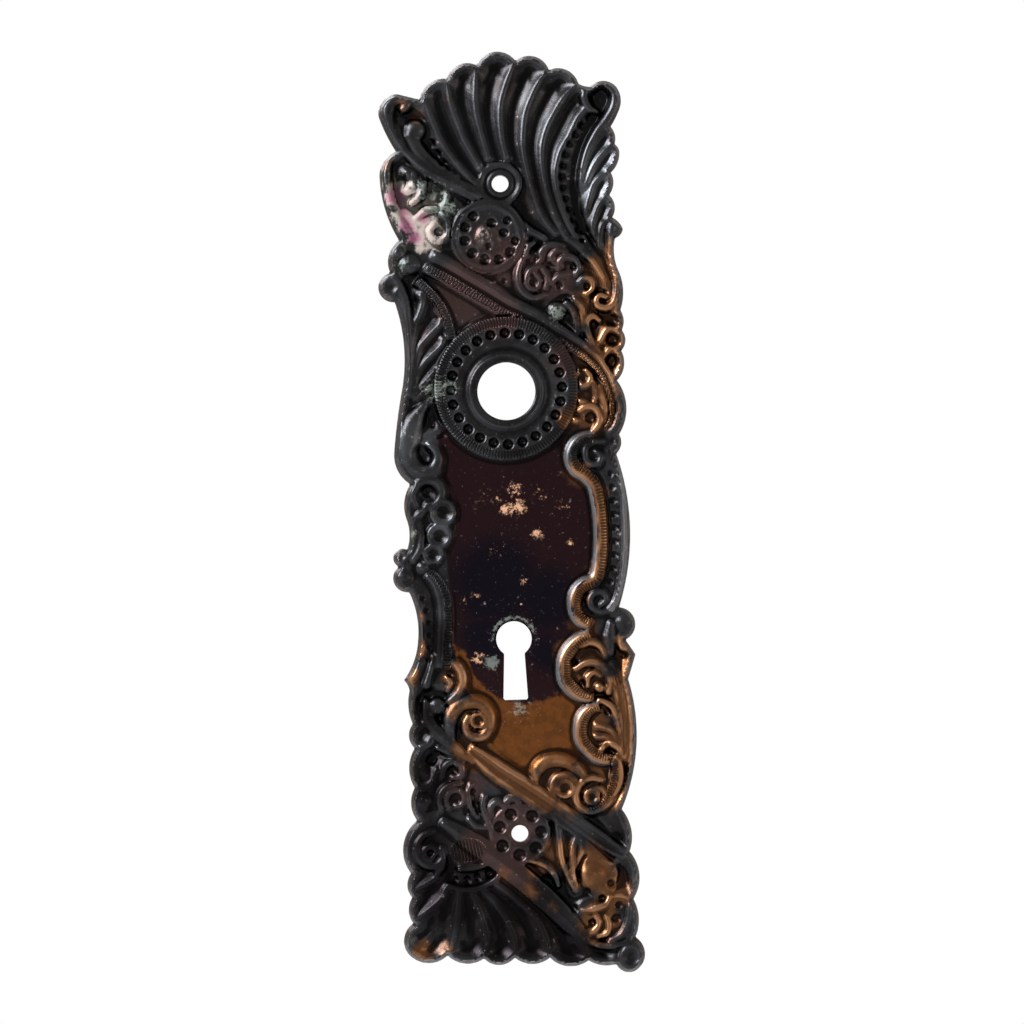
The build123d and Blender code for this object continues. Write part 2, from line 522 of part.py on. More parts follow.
def keyhole(height, spread):
    """A keyhole's round head and flared slot as a closed wire at this height, spread outwards all round."""
    radius, neck, foot_half = KEYHOLE_RADIUS + spread, KEYHOLE_NECK_HALF + spread, KEYHOLE_FOOT_HALF + spread
    foot = KEYHOLE_RADIUS - KEYHOLE_DROP - KEYHOLE_LENGTH - spread
    throat = -KEYHOLE_DROP - math.sqrt(radius ** 2 - neck ** 2)
    edges = [
        ThreePointArc((-neck, throat), (0, radius - KEYHOLE_DROP), (neck, throat)).edge(),
        Line((neck, throat), (foot_half, foot)).edge(),
        Line((foot_half, foot), (-foot_half, foot)).edge(),
        Line((-foot_half, foot), (-neck, throat)).edge(),
    ]
    return Pos(0, 0, height) * Wire(edges)


def front_mass():
    """Everything under the plate's front: rim, ground, fields and flutes, then what stands out of it."""
    rim = Solid.make_loft([
        rim_wire(0, 0), rim_wire(SHOULDER_INSET, SHOULDER_HEIGHT), rim_wire(CREST_INSET, GROUND),
    ], ruled=True)
    floor = GROUND - FIELD_DROP
    fields = [pocket(FIELD_START, FIELD, floor), pocket(TRIANGLE_START, TRIANGLE, floor)]
    flutes = [stroke(*flute, side=-1, flats=4) for flute in FLUTES]
    ground = Part() + rim - fields - flutes
    mouldings = [moulding(*band) for band in BANDS + FRAMES]
    strokes = [stroke(*bar) for bar in STEMS] + [tendril(*leaf) for leaf in FOLIAGE]
    scrolls = [scroll(*curl) for curl in SCROLLS]
    beads = [cap(*pellet) for pellet in PELLETS] + [cup(*bowl) for bowl in CUPS]
    return ground + mouldings + strokes + scrolls + beads + medallion() + rosette()


def medallion():
    """The small raised ring with its circle of dimples above the upper band."""
    inner = MEDALLION_RADIUS - MEDALLION_RIM
    top = GROUND + MEDALLION_RISE
    flat = MEDALLION_RIM / 4
    return Pos(*MEDALLION_CENTRE) * turned([
        (inner, GROUND - ROOT), (inner, GROUND), (inner + flat, top), (MEDALLION_RADIUS - flat, top),
        (MEDALLION_RADIUS, GROUND), (MEDALLION_RADIUS, GROUND - ROOT),
    ])


def dimples():
    """Every round hollow: the rosette's, the medallion's and the lower flower's, the rows and the cups."""
    lower_screw = (0, UPPER_SCREW_HEIGHT - SCREW_SPACING)
    rings = [
        ((0, RING_RISE), ROSETTE_DIMPLES, ROSETTE_DIMPLE_CIRCLE, ROSETTE_DIMPLE_RADIUS, ROSETTE_HEIGHT),
        (MEDALLION_CENTRE, MEDALLION_DIMPLES, MEDALLION_DIMPLE_CIRCLE, MEDALLION_DIMPLE_RADIUS, GROUND),
        (lower_screw, FLOWER_DIMPLES, FLOWER_CIRCLE, FLOWER_DIMPLE_RADIUS, GROUND, FLOWER_TURN),
    ]
    pressed = [dimple for ring in rings for dimple in ring_of_dimples(*ring)]
    pressed += [dimple for row in DIMPLE_ROWS for dimple in row_of_dimples(*row)]
    pressed += [dimple(centre, radius, GROUND) for centre, radius in HOLLOWS]
    return pressed + [dimple(centre, CUP_LIP * radius, GROUND + rise) for centre, radius, rise in CUPS]


def cavity():
    """The hollow back, which leaves one wall's thickness behind the fields."""
    depth = GROUND - FIELD_DROP - WALL
    inner = CAVITY_MARGIN + CAVITY_SLOPE
    return Solid.make_loft([
        rim_wire(CAVITY_MARGIN, 0, BRIDGED_LOBE), rim_wire(inner, depth, BRIDGED_LOBE),
    ], ruled=True)


def screw_holes():
    """Both screw holes, and the dish that the upper one sits in."""
    dish = Pos(0, UPPER_SCREW_HEIGHT) * turned([
        (0, GROUND - DISH_DEPTH), (DISH_FLOOR_RADIUS, GROUND - DISH_DEPTH), (DISH_RADIUS, GROUND),
        (DISH_RADIUS, GROUND + ROOT), (0, GROUND + ROOT),
    ])
    drill = Cylinder(SCREW_HOLE_RADIUS, 2 * GROUND)
    return [dish] + [Pos(0, UPPER_SCREW_HEIGHT - drop) * drill for drop in (0, SCREW_SPACING)]


def keyhole_cut():
    """The keyhole right through, with its front edge bevelled."""
    floor = GROUND - FIELD_DROP
    through = Solid.make_loft([keyhole(0, 0), keyhole(GROUND, 0)], ruled=True)
    bevel = Solid.make_loft([keyhole(floor - KEYHOLE_BEVEL, 0), keyhole(floor, KEYHOLE_BEVEL)], ruled=True)
    return [through, bevel]


def door_plate():
    """The whole plate, standing up with its front to -Y."""
    knob_hole = Cylinder(KNOB_HOLE_RADIUS, 2 * LIP_HEIGHT)
    plate = front_mass() - dimples() - screw_holes() - keyhole_cut() - cavity() - knob_hole
    return Rot(90, 0, 0) * plate


os.makedirs("parts", exist_ok=True)
export_step(door_plate(), "parts/door_plate.step")
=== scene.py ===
"""A cast bronze door plate with a worn dark patina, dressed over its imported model."""
import bmesh
import bpy
import math
import numpy as np
from mathutils import Euler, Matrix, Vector
from mathutils.geometry import delaunay_2d_cdt


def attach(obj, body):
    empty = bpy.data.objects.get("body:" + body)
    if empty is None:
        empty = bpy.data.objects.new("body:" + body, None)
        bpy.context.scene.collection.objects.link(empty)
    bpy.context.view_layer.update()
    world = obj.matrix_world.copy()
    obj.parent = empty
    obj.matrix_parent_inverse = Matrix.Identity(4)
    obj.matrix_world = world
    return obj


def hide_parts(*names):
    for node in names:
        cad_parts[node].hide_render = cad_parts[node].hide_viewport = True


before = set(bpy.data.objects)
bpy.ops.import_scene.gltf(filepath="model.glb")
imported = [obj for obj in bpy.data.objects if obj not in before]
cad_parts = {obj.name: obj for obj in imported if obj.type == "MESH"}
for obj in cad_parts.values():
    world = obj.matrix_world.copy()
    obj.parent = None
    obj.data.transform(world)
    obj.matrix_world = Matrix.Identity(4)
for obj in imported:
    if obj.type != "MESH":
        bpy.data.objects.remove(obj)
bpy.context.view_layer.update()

# Relief sizes in millimetres: x right, z up the plate, height out of the door
STEP = 0.4
GRID_LOW = (-33.2, -152.4)
GRID_HIGH = (33.2, 89.2)
GROUND = 3.4
FIELD = 2.75
CAVITY_MARGIN = 1.9
CAVITY_SLOPE = 1.1
CAVITY_DEPTH = 1.15
THINNEST = 1.6
KNOB_RADIUS = 7.5
SCREW_RADIUS = 2.2
UPPER_SCREW = (0, 53.8)
LOWER_SCREW = (0, -114.6)
KEY_CENTRE = (0, -64.2)
KEY_RADIUS = 4.6
KEY_FOOT = -80.0
KEY_NECK_HALF = 2.65
KEY_FOOT_HALF = 3.2
COLLAR_RADIUS = 12.6
ROSETTE_RADIUS = 19.0
RING_RISE = 0.7
ROSETTE_DIMPLES = 24
DIMPLE_TURN = 360 / ROSETTE_DIMPLES
DIMPLE_CIRCLE = 14.4
DIMPLE_RADIUS = 1.5
DIMPLE_DEPTH = 1.35
BOSS_RADIUS = 5.8
FLOWER_RADIUS = 8.2
FLOWER_CIRCLE = 5.5
FLOWER_ANGLES = (114, 54, 3, -44, -93, -147, 160)
FLOWER_DIMPLE_RADIUS = 1.85
FLOWER_DIMPLE_DEPTH = 1.2
ROW_DIMPLE_DEPTH = 0.7
MEDALLION = (-3.4, 40.2)
MEDALLION_RADIUS = 10
MEDALLION_DIMPLE_DEPTH = 1.0
CREST_ROUND = 0.3
HATCH_PITCH = 0.78
HATCH_CIRCLE = 17.2
SOFT_JOINT = 0.2
SHARP_ANGLE = 62

# The view in metres: how far the camera stands, how wide it sees there, its height and the plate's roll
CAMERA_DISTANCE = 0.8
VIEW_WIDTH = 0.2662
CAMERA_HEIGHT = -0.0313
PLATE_ROLL = 1.75
FLOOR_LEVEL = -0.21

# Outline, clockwise from the notch under the left volute: each arc is a point it passes and its end
OUTLINE_START = (-26.8, 63.2)
OUTLINE = [
    ((-29.1, 67.5), (-30.9, 72)), ((-29.8, 76.3), (-26, 78)), ((-23.5, 77.3), (-20.2, 76.4)),
    ((-17.9, 80.3), (-13.1, 81.6)), ((-10.4, 84.8), (-5.2, 84.9)), ((-0.2, 88.2), (5, 85.7)),
    ((9.8, 86.7), (13.6, 83)), ((18, 83), (21.1, 79.3)), ((22.6, 78.6), (24.2, 78.4)),
    ((27.3, 79.8), (30.8, 78.3)), ((32, 74.8), (31.5, 72.3)), ((30.4, 70), (29.1, 67.9)),
    ((30.2, 65.6), (30, 63.3)), ((30.8, 62.5), (31.2, 61.5)), ((30.7, 58.6), (28.8, 56)),
    ((29.4, 53), (28.2, 50.2)), ((29.6, 47.1), (28.8, 44.3)), ((30.4, 43.1), (31.5, 41.2)),
    ((30.9, 39.9), (29.4, 39)), ((29, 35.5), (29.8, 31)), ((31.1, 25.2), (30.2, 20.2)),
    ((31, 17.5), (30.4, 15)), ((31.3, 12.5), (30.1, 9.7)), ((30.8, 6.3), (28.8, 2)),
    ((31, -4.5), (28.9, -12)), ((29.4, -14.2), (28, -17)), ((31, -35.5), (27.5, -56.9)),
    ((31.6, -61.5), (28.9, -65.3)), ((30.4, -67.6), (31.4, -69.2)), ((30.7, -71.4), (29.3, -75.5)),
    ((31.1, -90), (26.6, -109.3)), ((29, -115), (28.3, -120.3)), ((30.7, -127), (28.9, -132.6)),
    ((30.2, -138), (29.1, -142.6)), ((31.5, -147.2), (28.3, -151.5)), ((25.9, -151.3), (24, -149.4)),
    ((20.6, -149.6), (16.8, -148.2)), ((12, -149.6), (6.8, -147.2)), ((2.2, -148.7), (-2.3, -146.9)),
    ((-6.2, -148.7), (-10.3, -146.9)), ((-14.9, -148.1), (-19.7, -145.8)), ((-25.4, -147.6), (-30, -144.9)),
    ((-30.9, -141.5), (-28.3, -137.3)), ((-29.4, -134.2), (-28.4, -130.5)),
    ((-29.6, -127.5), (-28.5, -124.3)), ((-30.4, -117.6), (-26.5, -110.6)),
    ((-28, -106.2), (-26.9, -102.1)), ((-28.2, -97.2), (-26.6, -91.8)), ((-28, -88.8), (-26.9, -85.5)),
    ((-27.9, -81.3), (-27.5, -77)), ((-28, -75.2), (-28.9, -74.1)), ((-26.3, -69.7), (-24.9, -64)),
    ((-25, -57.4), (-26.8, -51.3)), ((-30.8, -48.2), (-29.3, -44.6)), ((-30.2, -41), (-27, -40.3)),
    ((-26.3, -37.2), (-26.9, -32.4)), ((-27.4, -28.2), (-25.7, -23.3)), ((-28.9, -19.5), (-29.6, -15)),
    ((-28.5, -6.6), (-26.9, 2)), ((-26.2, 12.4), (-28.3, 24.1)), ((-32.4, 28.2), (-29.2, 31.7)),
    ((-29.6, 35.6), (-26.7, 40.1)), ((-29.9, 47.7), (-31.2, 56)), ((-30.4, 60), (-26.8, 63.2)),
]


# Grid helpers
grid_x = np.arange(GRID_LOW[0], GRID_HIGH[0] + STEP / 2, STEP)
grid_z = np.arange(GRID_LOW[1], GRID_HIGH[1] + STEP / 2, STEP)
PX, PZ = np.meshgrid(grid_x, grid_z)


def smooth_max(a, b, soft=0.2):
    """The larger of two heights, with the crease between them rounded over soft millimetres."""
    return np.maximum(a, b) + np.maximum(soft - np.abs(a - b), 0) ** 2 / (4 * soft)


def smooth_min(a, b, soft=0.2):
    """The smaller of two heights, rounded in the same way."""
    return -smooth_max(-a, -b, soft)


def ease(value, low, high):
    """0 below low, 1 above high, and an S curve between."""
    t = np.clip((value - low) / (high - low), 0, 1)
    return t * t * (3 - 2 * t)


def blurred(field, sigma):
    """A Gaussian blur: each row and then each column is averaged with bell weights, sigma in mm."""
    reach = int(math.ceil(3 * sigma / STEP))
    offsets = np.arange(-reach, reach + 1)
    weights = np.exp(-0.5 * (offsets * STEP / sigma) ** 2)
    weights /= weights.sum()
    for axis, margins in enumerate((((reach, reach), (0, 0)), ((0, 0), (reach, reach)))):
        padded = np.pad(field, margins, mode="edge")
        middle = np.arange(field.shape[axis]) + reach
        field = sum(w * np.take(padded, middle + o, axis=axis) for w, o in zip(weights, offsets))
    return field


def arc_points(start, through, end, spacing=0.35):
    """Points along the circle through three points, in even steps of angle, without the last."""
    (ax, az), (bx, bz), (cx, cz) = start, through, end
    d = 2 * (ax * (bz - cz) + bx * (cz - az) + cx * (az - bz))
    a2, b2, c2 = ax * ax + az * az, bx * bx + bz * bz, cx * cx + cz * cz
    ux = (a2 * (bz - cz) + b2 * (cz - az) + c2 * (az - bz)) / d
    uz = (a2 * (cx - bx) + b2 * (ax - cx) + c2 * (bx - ax)) / d
    radius = math.hypot(ax - ux, az - uz)
    angles = [math.atan2(z - uz, x - ux) for x, z in (start, through, end)]
    turn = (angles[2] - angles[0]) % math.tau
    if (angles[1] - angles[0]) % math.tau > turn:
        turn -= math.tau
    count = max(2, int(radius * abs(turn) / spacing))
    at = angles[0] + turn * np.arange(count) / count
    return np.stack([ux + radius * np.cos(at), uz + radius * np.sin(at)], axis=1)


def closed_arcs(start, arcs, spacing=0.35):
    """One closed line of points round a chain of three-point arcs."""
    parts = []
    for through, end in arcs:
        parts.append(arc_points(start, through, end, spacing))
        start = end
    return np.vstack(parts)


def smooth_line(points, per=7):
    """A Catmull-Rom curve: each span is a cubic whose ends take the slope between their neighbours."""
    p = np.asarray(points, float)
    if len(p) == 2:
        return p[0] + (p[1] - p[0]) * np.linspace(0, 1, per + 1)[:, None]
    q = np.vstack([2 * p[0] - p[1], p, 2 * p[-1] - p[-2]])
    t = np.linspace(0, 1, per, endpoint=False)[:, None]
    parts = []
    for a, b, c, d in zip(q[:-3], q[1:-2], q[2:-1], q[3:]):
        cubic = 2 * b + (c - a) * t + (2 * a - 5 * b + 4 * c - d) * t ** 2 + (3 * b - a - 3 * c + d) * t ** 3
        parts.append(cubic / 2)
    return np.vstack(parts + [p[-1:]])


def window(low, high):
    """The slices of the grid that cover a box."""
    size_z, size_x = PX.shape
    i0 = max(0, int((low[0] - GRID_LOW[0]) / STEP))
    i1 = min(size_x, int((high[0] - GRID_LOW[0]) / STEP) + 2)
    j0 = max(0, int((low[1] - GRID_LOW[1]) / STEP))
    j1 = min(size_z, int((high[1] - GRID_LOW[1]) / STEP) + 2)
    return slice(j0, j1), slice(i0, i1)


def near(line, reach):
    """For the grid near a line: its window, the distance, the share of the length and the side."""
    where = window(line.min(0) - reach, line.max(0) + reach)
    x, z = PX[where], PZ[where]
    best = np.full(x.shape, 1e9)
    share = np.zeros(x.shape)
    side = np.zeros(x.shape)
    steps = np.hypot(*(line[1:] - line[:-1]).T)
    run = np.concatenate([[0], np.cumsum(steps)]) / steps.sum()
    for a, b, s0, s1 in zip(line[:-1], line[1:], run[:-1], run[1:]):
        v = b - a
        t = np.clip(((x - a[0]) * v[0] + (z - a[1]) * v[1]) / max(v @ v, 1e-12), 0, 1)
        dx, dz = x - a[0] - t * v[0], z - a[1] - t * v[1]
        d = np.hypot(dx, dz)
        closer = d < best
        best = np.where(closer, d, best)
        share = np.where(closer, s0 + t * (s1 - s0), share)
        side = np.where(closer, np.sign(v[0] * dz - v[1] * dx), side)
    return where, best, share, side


def along(values, share):
    """A size that changes evenly from one given value to the next along a line."""
    values = np.atleast_1d(np.asarray(values, float))
    return np.interp(share, np.linspace(0, 1, len(values)), values)


def inside_of(loop):
    """True on the grid points inside a closed line: each row counts the crossings to its left."""
    ends = np.roll(loop, -1, axis=0)
    inside = np.zeros(PX.shape, bool)
    for j, z in enumerate(grid_z):
        cross = (loop[:, 1] > z) != (ends[:, 1] > z)
        a, b = loop[cross], ends[cross]
        xs = np.sort(a[:, 0] + (z - a[:, 1]) / (b[:, 1] - a[:, 1]) * (b[:, 0] - a[:, 0]))
        inside[j] = np.searchsorted(xs, grid_x) % 2 == 1
    return inside


def depth_inside(loop, reach):
    """The distance in from a closed line, negative outside, up to reach."""
    closed = np.vstack([loop, loop[:1]])
    depth = np.full(PX.shape, float(reach))
    for first in range(0, len(loop), 24):
        where, d, _, _ = near(closed[first:first + 25], reach)
        depth[where] = np.minimum(depth[where], d)
    return np.where(inside_of(loop), depth, -depth)


# Fields, clockwise like the outline
FIELD_START = (-16.2, -9)
FIELD_ARCS = [
    ((-17.4, -13), (-16.2, -17)), ((-16.9, -20.5), (-15.5, -24)), ((-13.9, -28), (-13.6, -32)),
    ((-14, -37), (-16.3, -41)), ((-15.6, -50), (-15.3, -60)), ((-15.1, -66), (-13.6, -71)),
    ((-12.6, -76), (-9.4, -79.4)), ((-5.6, -84), (-7.6, -90)), ((-3, -95), (3, -98.6)),
    ((7.5, -95.6), (13, -96.6)), ((15.6, -94.5), (14.8, -88.5)), ((15.4, -84.5), (17.3, -81.8)),
    ((12.2, -77.5), (10.8, -72.5)), ((12.4, -66.6), (16.4, -62.6)), ((14.4, -56), (18.6, -50.6)),
    ((22.4, -38), (20.4, -24.4)), ((16, -21), (14.3, -16.5)), ((14.6, -12), (16.4, -8.6)),
    ((0, 0), (-16.2, -9)),
]
TRIANGLE_START = (-20.8, 30.2)
TRIANGLE_ARCS = [((-12.4, 26.4), (-4, 20.4)), ((-8.4, 18.6), (-12.4, 14.6)), ((-14.6, 23), (-20.8, 30.2))]

# Sharp crests between scooped hollows: each is a line of points, and the hollows lie between the lines
CRESTS = [
    # top shell
    [(-20.2, 76.4), (-19.3, 76.5), (-17, 70.5), (-15.2, 66), (-12.5, 61.5), (-9, 57), (-6, 54)],
    [(-13.1, 81.6), (-12.3, 76), (-11.2, 72), (-10, 68.5), (-8.6, 65), (-6.8, 61.5), (-5, 58)],
    [(-5.2, 84.9), (-5.6, 80), (-5.8, 75), (-5.2, 70), (-4, 65), (-2.8, 60.5)],
    [(5, 85.7), (4.2, 84), (2.5, 80), (0.9, 75), (0.5, 70), (0.9, 65), (1.8, 60.5)],
    [
        (13.6, 83), (11, 80), (8.8, 76), (7.2, 72), (6.5, 68), (6.2, 64), (6.6, 60), (7.4, 56), (8.4, 51.5),
        (9.9, 47), (11.8, 43.3), (14, 40.5),
    ],
    [
        (21.1, 79.3), (17.5, 76), (14.8, 72), (12.6, 68), (11.3, 64), (11, 60), (11.3, 56), (12, 51.5),
        (13.4, 46.8), (15, 42.8), (17, 39.2),
    ],
    [
        (22.5, 78.5), (23, 73.5), (20.5, 70), (18.5, 66), (16, 62), (14.7, 58), (14.4, 55), (14.8, 51.5),
        (16, 47), (17.5, 43), (19.5, 39),
    ],
    # right leaf
    [(28.5, 67.3), (25.5, 64.5), (23.2, 61), (21.5, 57), (21, 54)],
    [(29.5, 63.5), (26, 60), (24, 57), (22.3, 53)],
    [(28.7, 56), (26, 54.8), (24, 52.5), (23, 49.5), (22.2, 46.5)],
    [(28.5, 50.2), (26, 48.3), (24.5, 45.5), (23.7, 42.5), (24, 40)],
    [(28.3, 43.7), (26.3, 42.5), (25.5, 40), (25.2, 37)],
    # left leaf
    [(-24, 57.5), (-23.5, 54)],
    [(-22.5, 57), (-22.5, 53.5)],
    [(-20.8, 55), (-20.8, 52.5)],
    # foliage under the shell
    [(10, 34), (12, 36.8), (15, 37.3)],
    [(13.3, 33), (13.5, 35), (14.5, 36)],
    [(15, 31.8), (15.5, 33.7), (17, 34.8)],
    [(18, 19.5), (18.5, 17), (19.3, 15.3)],
    [(20.2, 21), (20, 18), (19.8, 15.5)],
    # scallops at the right
    [(30.4, 15), (27, 15.6), (24.5, 12)],
    [(30.1, 9.7), (27.4, 10.4), (25.4, 8)],
    # leaf at the left of the rosette
    [(-21.3, 25.5), (-21, 23.5), (-22.2, 20), (-23.3, 17.5), (-24, 9)],
    [(-17, 22), (-16, 20), (-16.5, 18), (-18.5, 16), (-20.5, 14), (-22.3, 11.5), (-24, 4)],
    [(-16, 14), (-16.5, 12.3), (-19, 10), (-21, 8), (-23.2, 4.5), (-24, 0)],
    [(-16, 9), (-17, 7), (-20, 4), (-23.5, 0.5)],
    [(-16.2, 3.2), (-19, 2), (-23, -1)],
    [(-15, -2.3), (-19, -1.6), (-22, -3.3)],
    # bottom shell
    [(-19.5, -128.3), (-21, -131), (-24, -133.5), (-27, -135.5)],
    [(-16.2, -129.5), (-16.7, -135), (-17.6, -140), (-19, -144.5), (-19.7, -145.8)],
    [(-12.8, -129.5), (-11, -134), (-9.8, -138), (-9.3, -142), (-10.2, -146.5)],
    [(-10, -129), (-6.5, -133), (-3.5, -138), (-2, -143), (-2.3, -146.5)],
    [(-6.5, -127.5), (-1, -132), (4, -137), (6.3, -143), (6.8, -147)],
    [(-4, -126), (3, -130.5), (8.5, -136), (13, -141), (16, -145), (16.8, -148)],
    [(-28, -128.5), (-22, -125.5)],
    # lower right leaf
    [(10.3, -114), (10.5, -118), (11, -123), (12.5, -127), (14, -129.5)],
    [(14.5, -116.5), (13.8, -120), (13.8, -126), (14.5, -129.5)],
    [(16.5, -117), (15.5, -121), (14.3, -124)],
    [(28, -120.4), (24, -123), (21, -122)],
    [(28.7, -132.6), (25.5, -131.5), (23, -131.8)],
    # stems along the right rim under the field
    [(25, -71.5), (27, -76), (28, -83), (28.3, -90), (27.9, -96)],
    [(23.5, -72), (25.5, -76), (26.6, -82), (27, -88), (26.8, -93)],
    [(26.2, -91.5), (24.4, -88.6), (20.6, -87.2)],
    [(26.2, -92.5), (23.6, -90.4), (20.4, -90)],
    # left side under the field
    [(-22, -90), (-24.5, -92.5), (-25.5, -96), (-24, -99)],
    [(-26.6, -91.8), (-23.5, -90.6), (-21.5, -88)],
    [(-26.9, -102.1), (-23, -101), (-21, -97.5)],
    [(-26.9, -85.5), (-24, -85.4), (-22.4, -82.5)],
]

# Mouldings: a line, then the section across it as offsets to the left of its travel and levels above the
# ground, then how wide the section is along the line, the strip that is hatched and the strip painted pale,
# partly worn metal and partly a painted highlight
FRAME_OFFSETS = (-1.9, -1.3, -0.6, 0, 0.8, 1.9, 2.5, 3.2)
FRAME_EDGE_HIGHLIGHT = (-2, -0.5)
FRAME_LEVELS = (-0.65, 0.1, 0.75, 0.9, 0.7, 0.35, -0.7, -0.9)
MOULDINGS = [
    # band over the three-cornered field, round to the rim at the right
    ([(-20.8, 33.2), (-15, 29.9), (-10, 26.7), (-5, 23.6), (0, 20.4), (5, 17.9), (10, 15), (15, 12.1),
      (19, 9.5), (22.4, 6.6), (25, 3), (26.6, -1), (27.3, -5), (26.6, -8.8), (24.6, -11.2)],
     (-1.9, -1.5, -1.2, -0.95, -0.8, 0.8, 1.1, 1.9, 2.6, 3.6, 4.6, 5.2, 5.7),
     (-0.65, 0.1, 0.35, 0.1, 0.45, 0.5, -0.1, -0.25, 0.2, 0.75, 0.6, 0, -0.6),
     (1, 1, 1, 0.95, 0.85, 0.7, 0.55, 0.42, 0.36), (-0.8, 0.9)),
    # border of the left leaf
    ([(-22.6, 29.6), (-19.4, 26.6), (-16.4, 22.6), (-14.6, 18.4), (-13.7, 13.6)],
     (-1.5, -1.1, -0.6, 0.6, 1.1, 1.6), (-0.5, 0.1, 0.35, 0.4, 0.25, -0.65), (1,), (-0.9, 1)),
    # right frame of the field with its two scrolls
    ([(23, -12.7), (20.3, -12.4), (17.8, -13.5), (16.3, -15.7), (16, -18.3), (17.2, -20.9), (19.6, -22.6),
      (21.6, -25), (22.5, -29), (23, -34), (23, -40), (22.5, -45), (21.4, -49), (18.6, -50.3),
      (16.4, -52.4), (15.6, -55.2), (16, -58), (17.7, -60.4), (20.6, -61.9)], FRAME_OFFSETS, FRAME_LEVELS,
     (0.9, 1, 1, 1, 0.9), (0.2, 2), FRAME_EDGE_HIGHLIGHT),
    ([(27.4, -15.4), (28.6, -20), (29.1, -26), (29.3, -34), (29.1, -42), (28.4, -49), (27, -54.5),
      (24.4, -58)], (-1.5, -0.9, -0.2, 0.25, 0.65, 1.1), (-0.9, 0.2, 0.7, 0.35, 0.6, 0), (1,), None,
     (-0.5, 1.2)),
    # frames at the lower right
    ([(20, -63), (17, -64.4), (14.4, -66.8), (12.8, -69.5), (12.3, -72.5), (12.7, -75.5), (14.5, -78),
      (17, -79.8), (20.5, -80.8)], FRAME_OFFSETS, FRAME_LEVELS, (0.7, 1, 1.05, 1, 0.7), (0.2, 2),
     FRAME_EDGE_HIGHLIGHT),
    ([(22, -81.8), (19, -82.7), (17, -84.8), (16.2, -87.5), (16.3, -90.3), (17.5, -93), (19.8, -95.3),
      (22.5, -96.4), (25, -96.3)], FRAME_OFFSETS, FRAME_LEVELS, (0.7, 1, 1, 1, 0.7), (0.2, 2), FRAME_EDGE_HIGHLIGHT),
    ([(25, -94.6), (26.4, -97), (26.8, -100), (26, -103.6), (24, -106.8), (21, -109.2), (17.4, -110)],
     (-3.4, -2.7, -2.4, -0.9, 0, 0.7, 1.3), (-0.8, 0, 0.3, 0.5, 0.75, 0.4, -0.9), (0.6, 1, 0.9, 0.5),
     (-2.5, -0.9)),
    # frame at the lower left
    ([(-22.5, -46.5), (-20.3, -49), (-18.9, -52.5), (-18.4, -57), (-18.7, -62), (-19.1, -67),
      (-19.4, -71.6)], (-1.8, -1.2, -0.3, 0.5, 1, 2.5, 3.1), (-0.9, 0.2, 0.8, 0.65, 0.25, 0.1, -0.65),
     (0.7, 1, 1, 1), (0.9, 2.6)),
    # lower bands
    ([(-13, -91.6), (-6, -97.5), (0, -101.8), (6, -106), (12, -110.5), (18, -115), (24, -119),
      (28, -121.5)], (-3.5, -2.9, -1.7, -0.5, 0, 0.5, 1.7, 2.7, 3.2),
     (-0.7, 0.2, 0.7, 0.35, 0.2, 0.4, 0.85, 0.4, -0.65), (0.5, 0.9, 1, 1, 0.95, 0.8, 0.45), None),
    ([(-21, -110.5), (-15, -114.6), (-10, -118.2), (-5, -122), (0, -126.2), (5, -130.8), (9, -134.8),
      (13, -139.2), (17, -143.5)], (-3.3, -2.7, -1.5, 0.2, 1.6, 2.2, 2.6, 3, 3.5),
     (-0.9, 0.1, 0.65, 0.95, 0.6, 0.1, 0.45, 0, -0.6), (0.4, 0.8, 1, 1, 1, 0.9, 0.5), None),
]

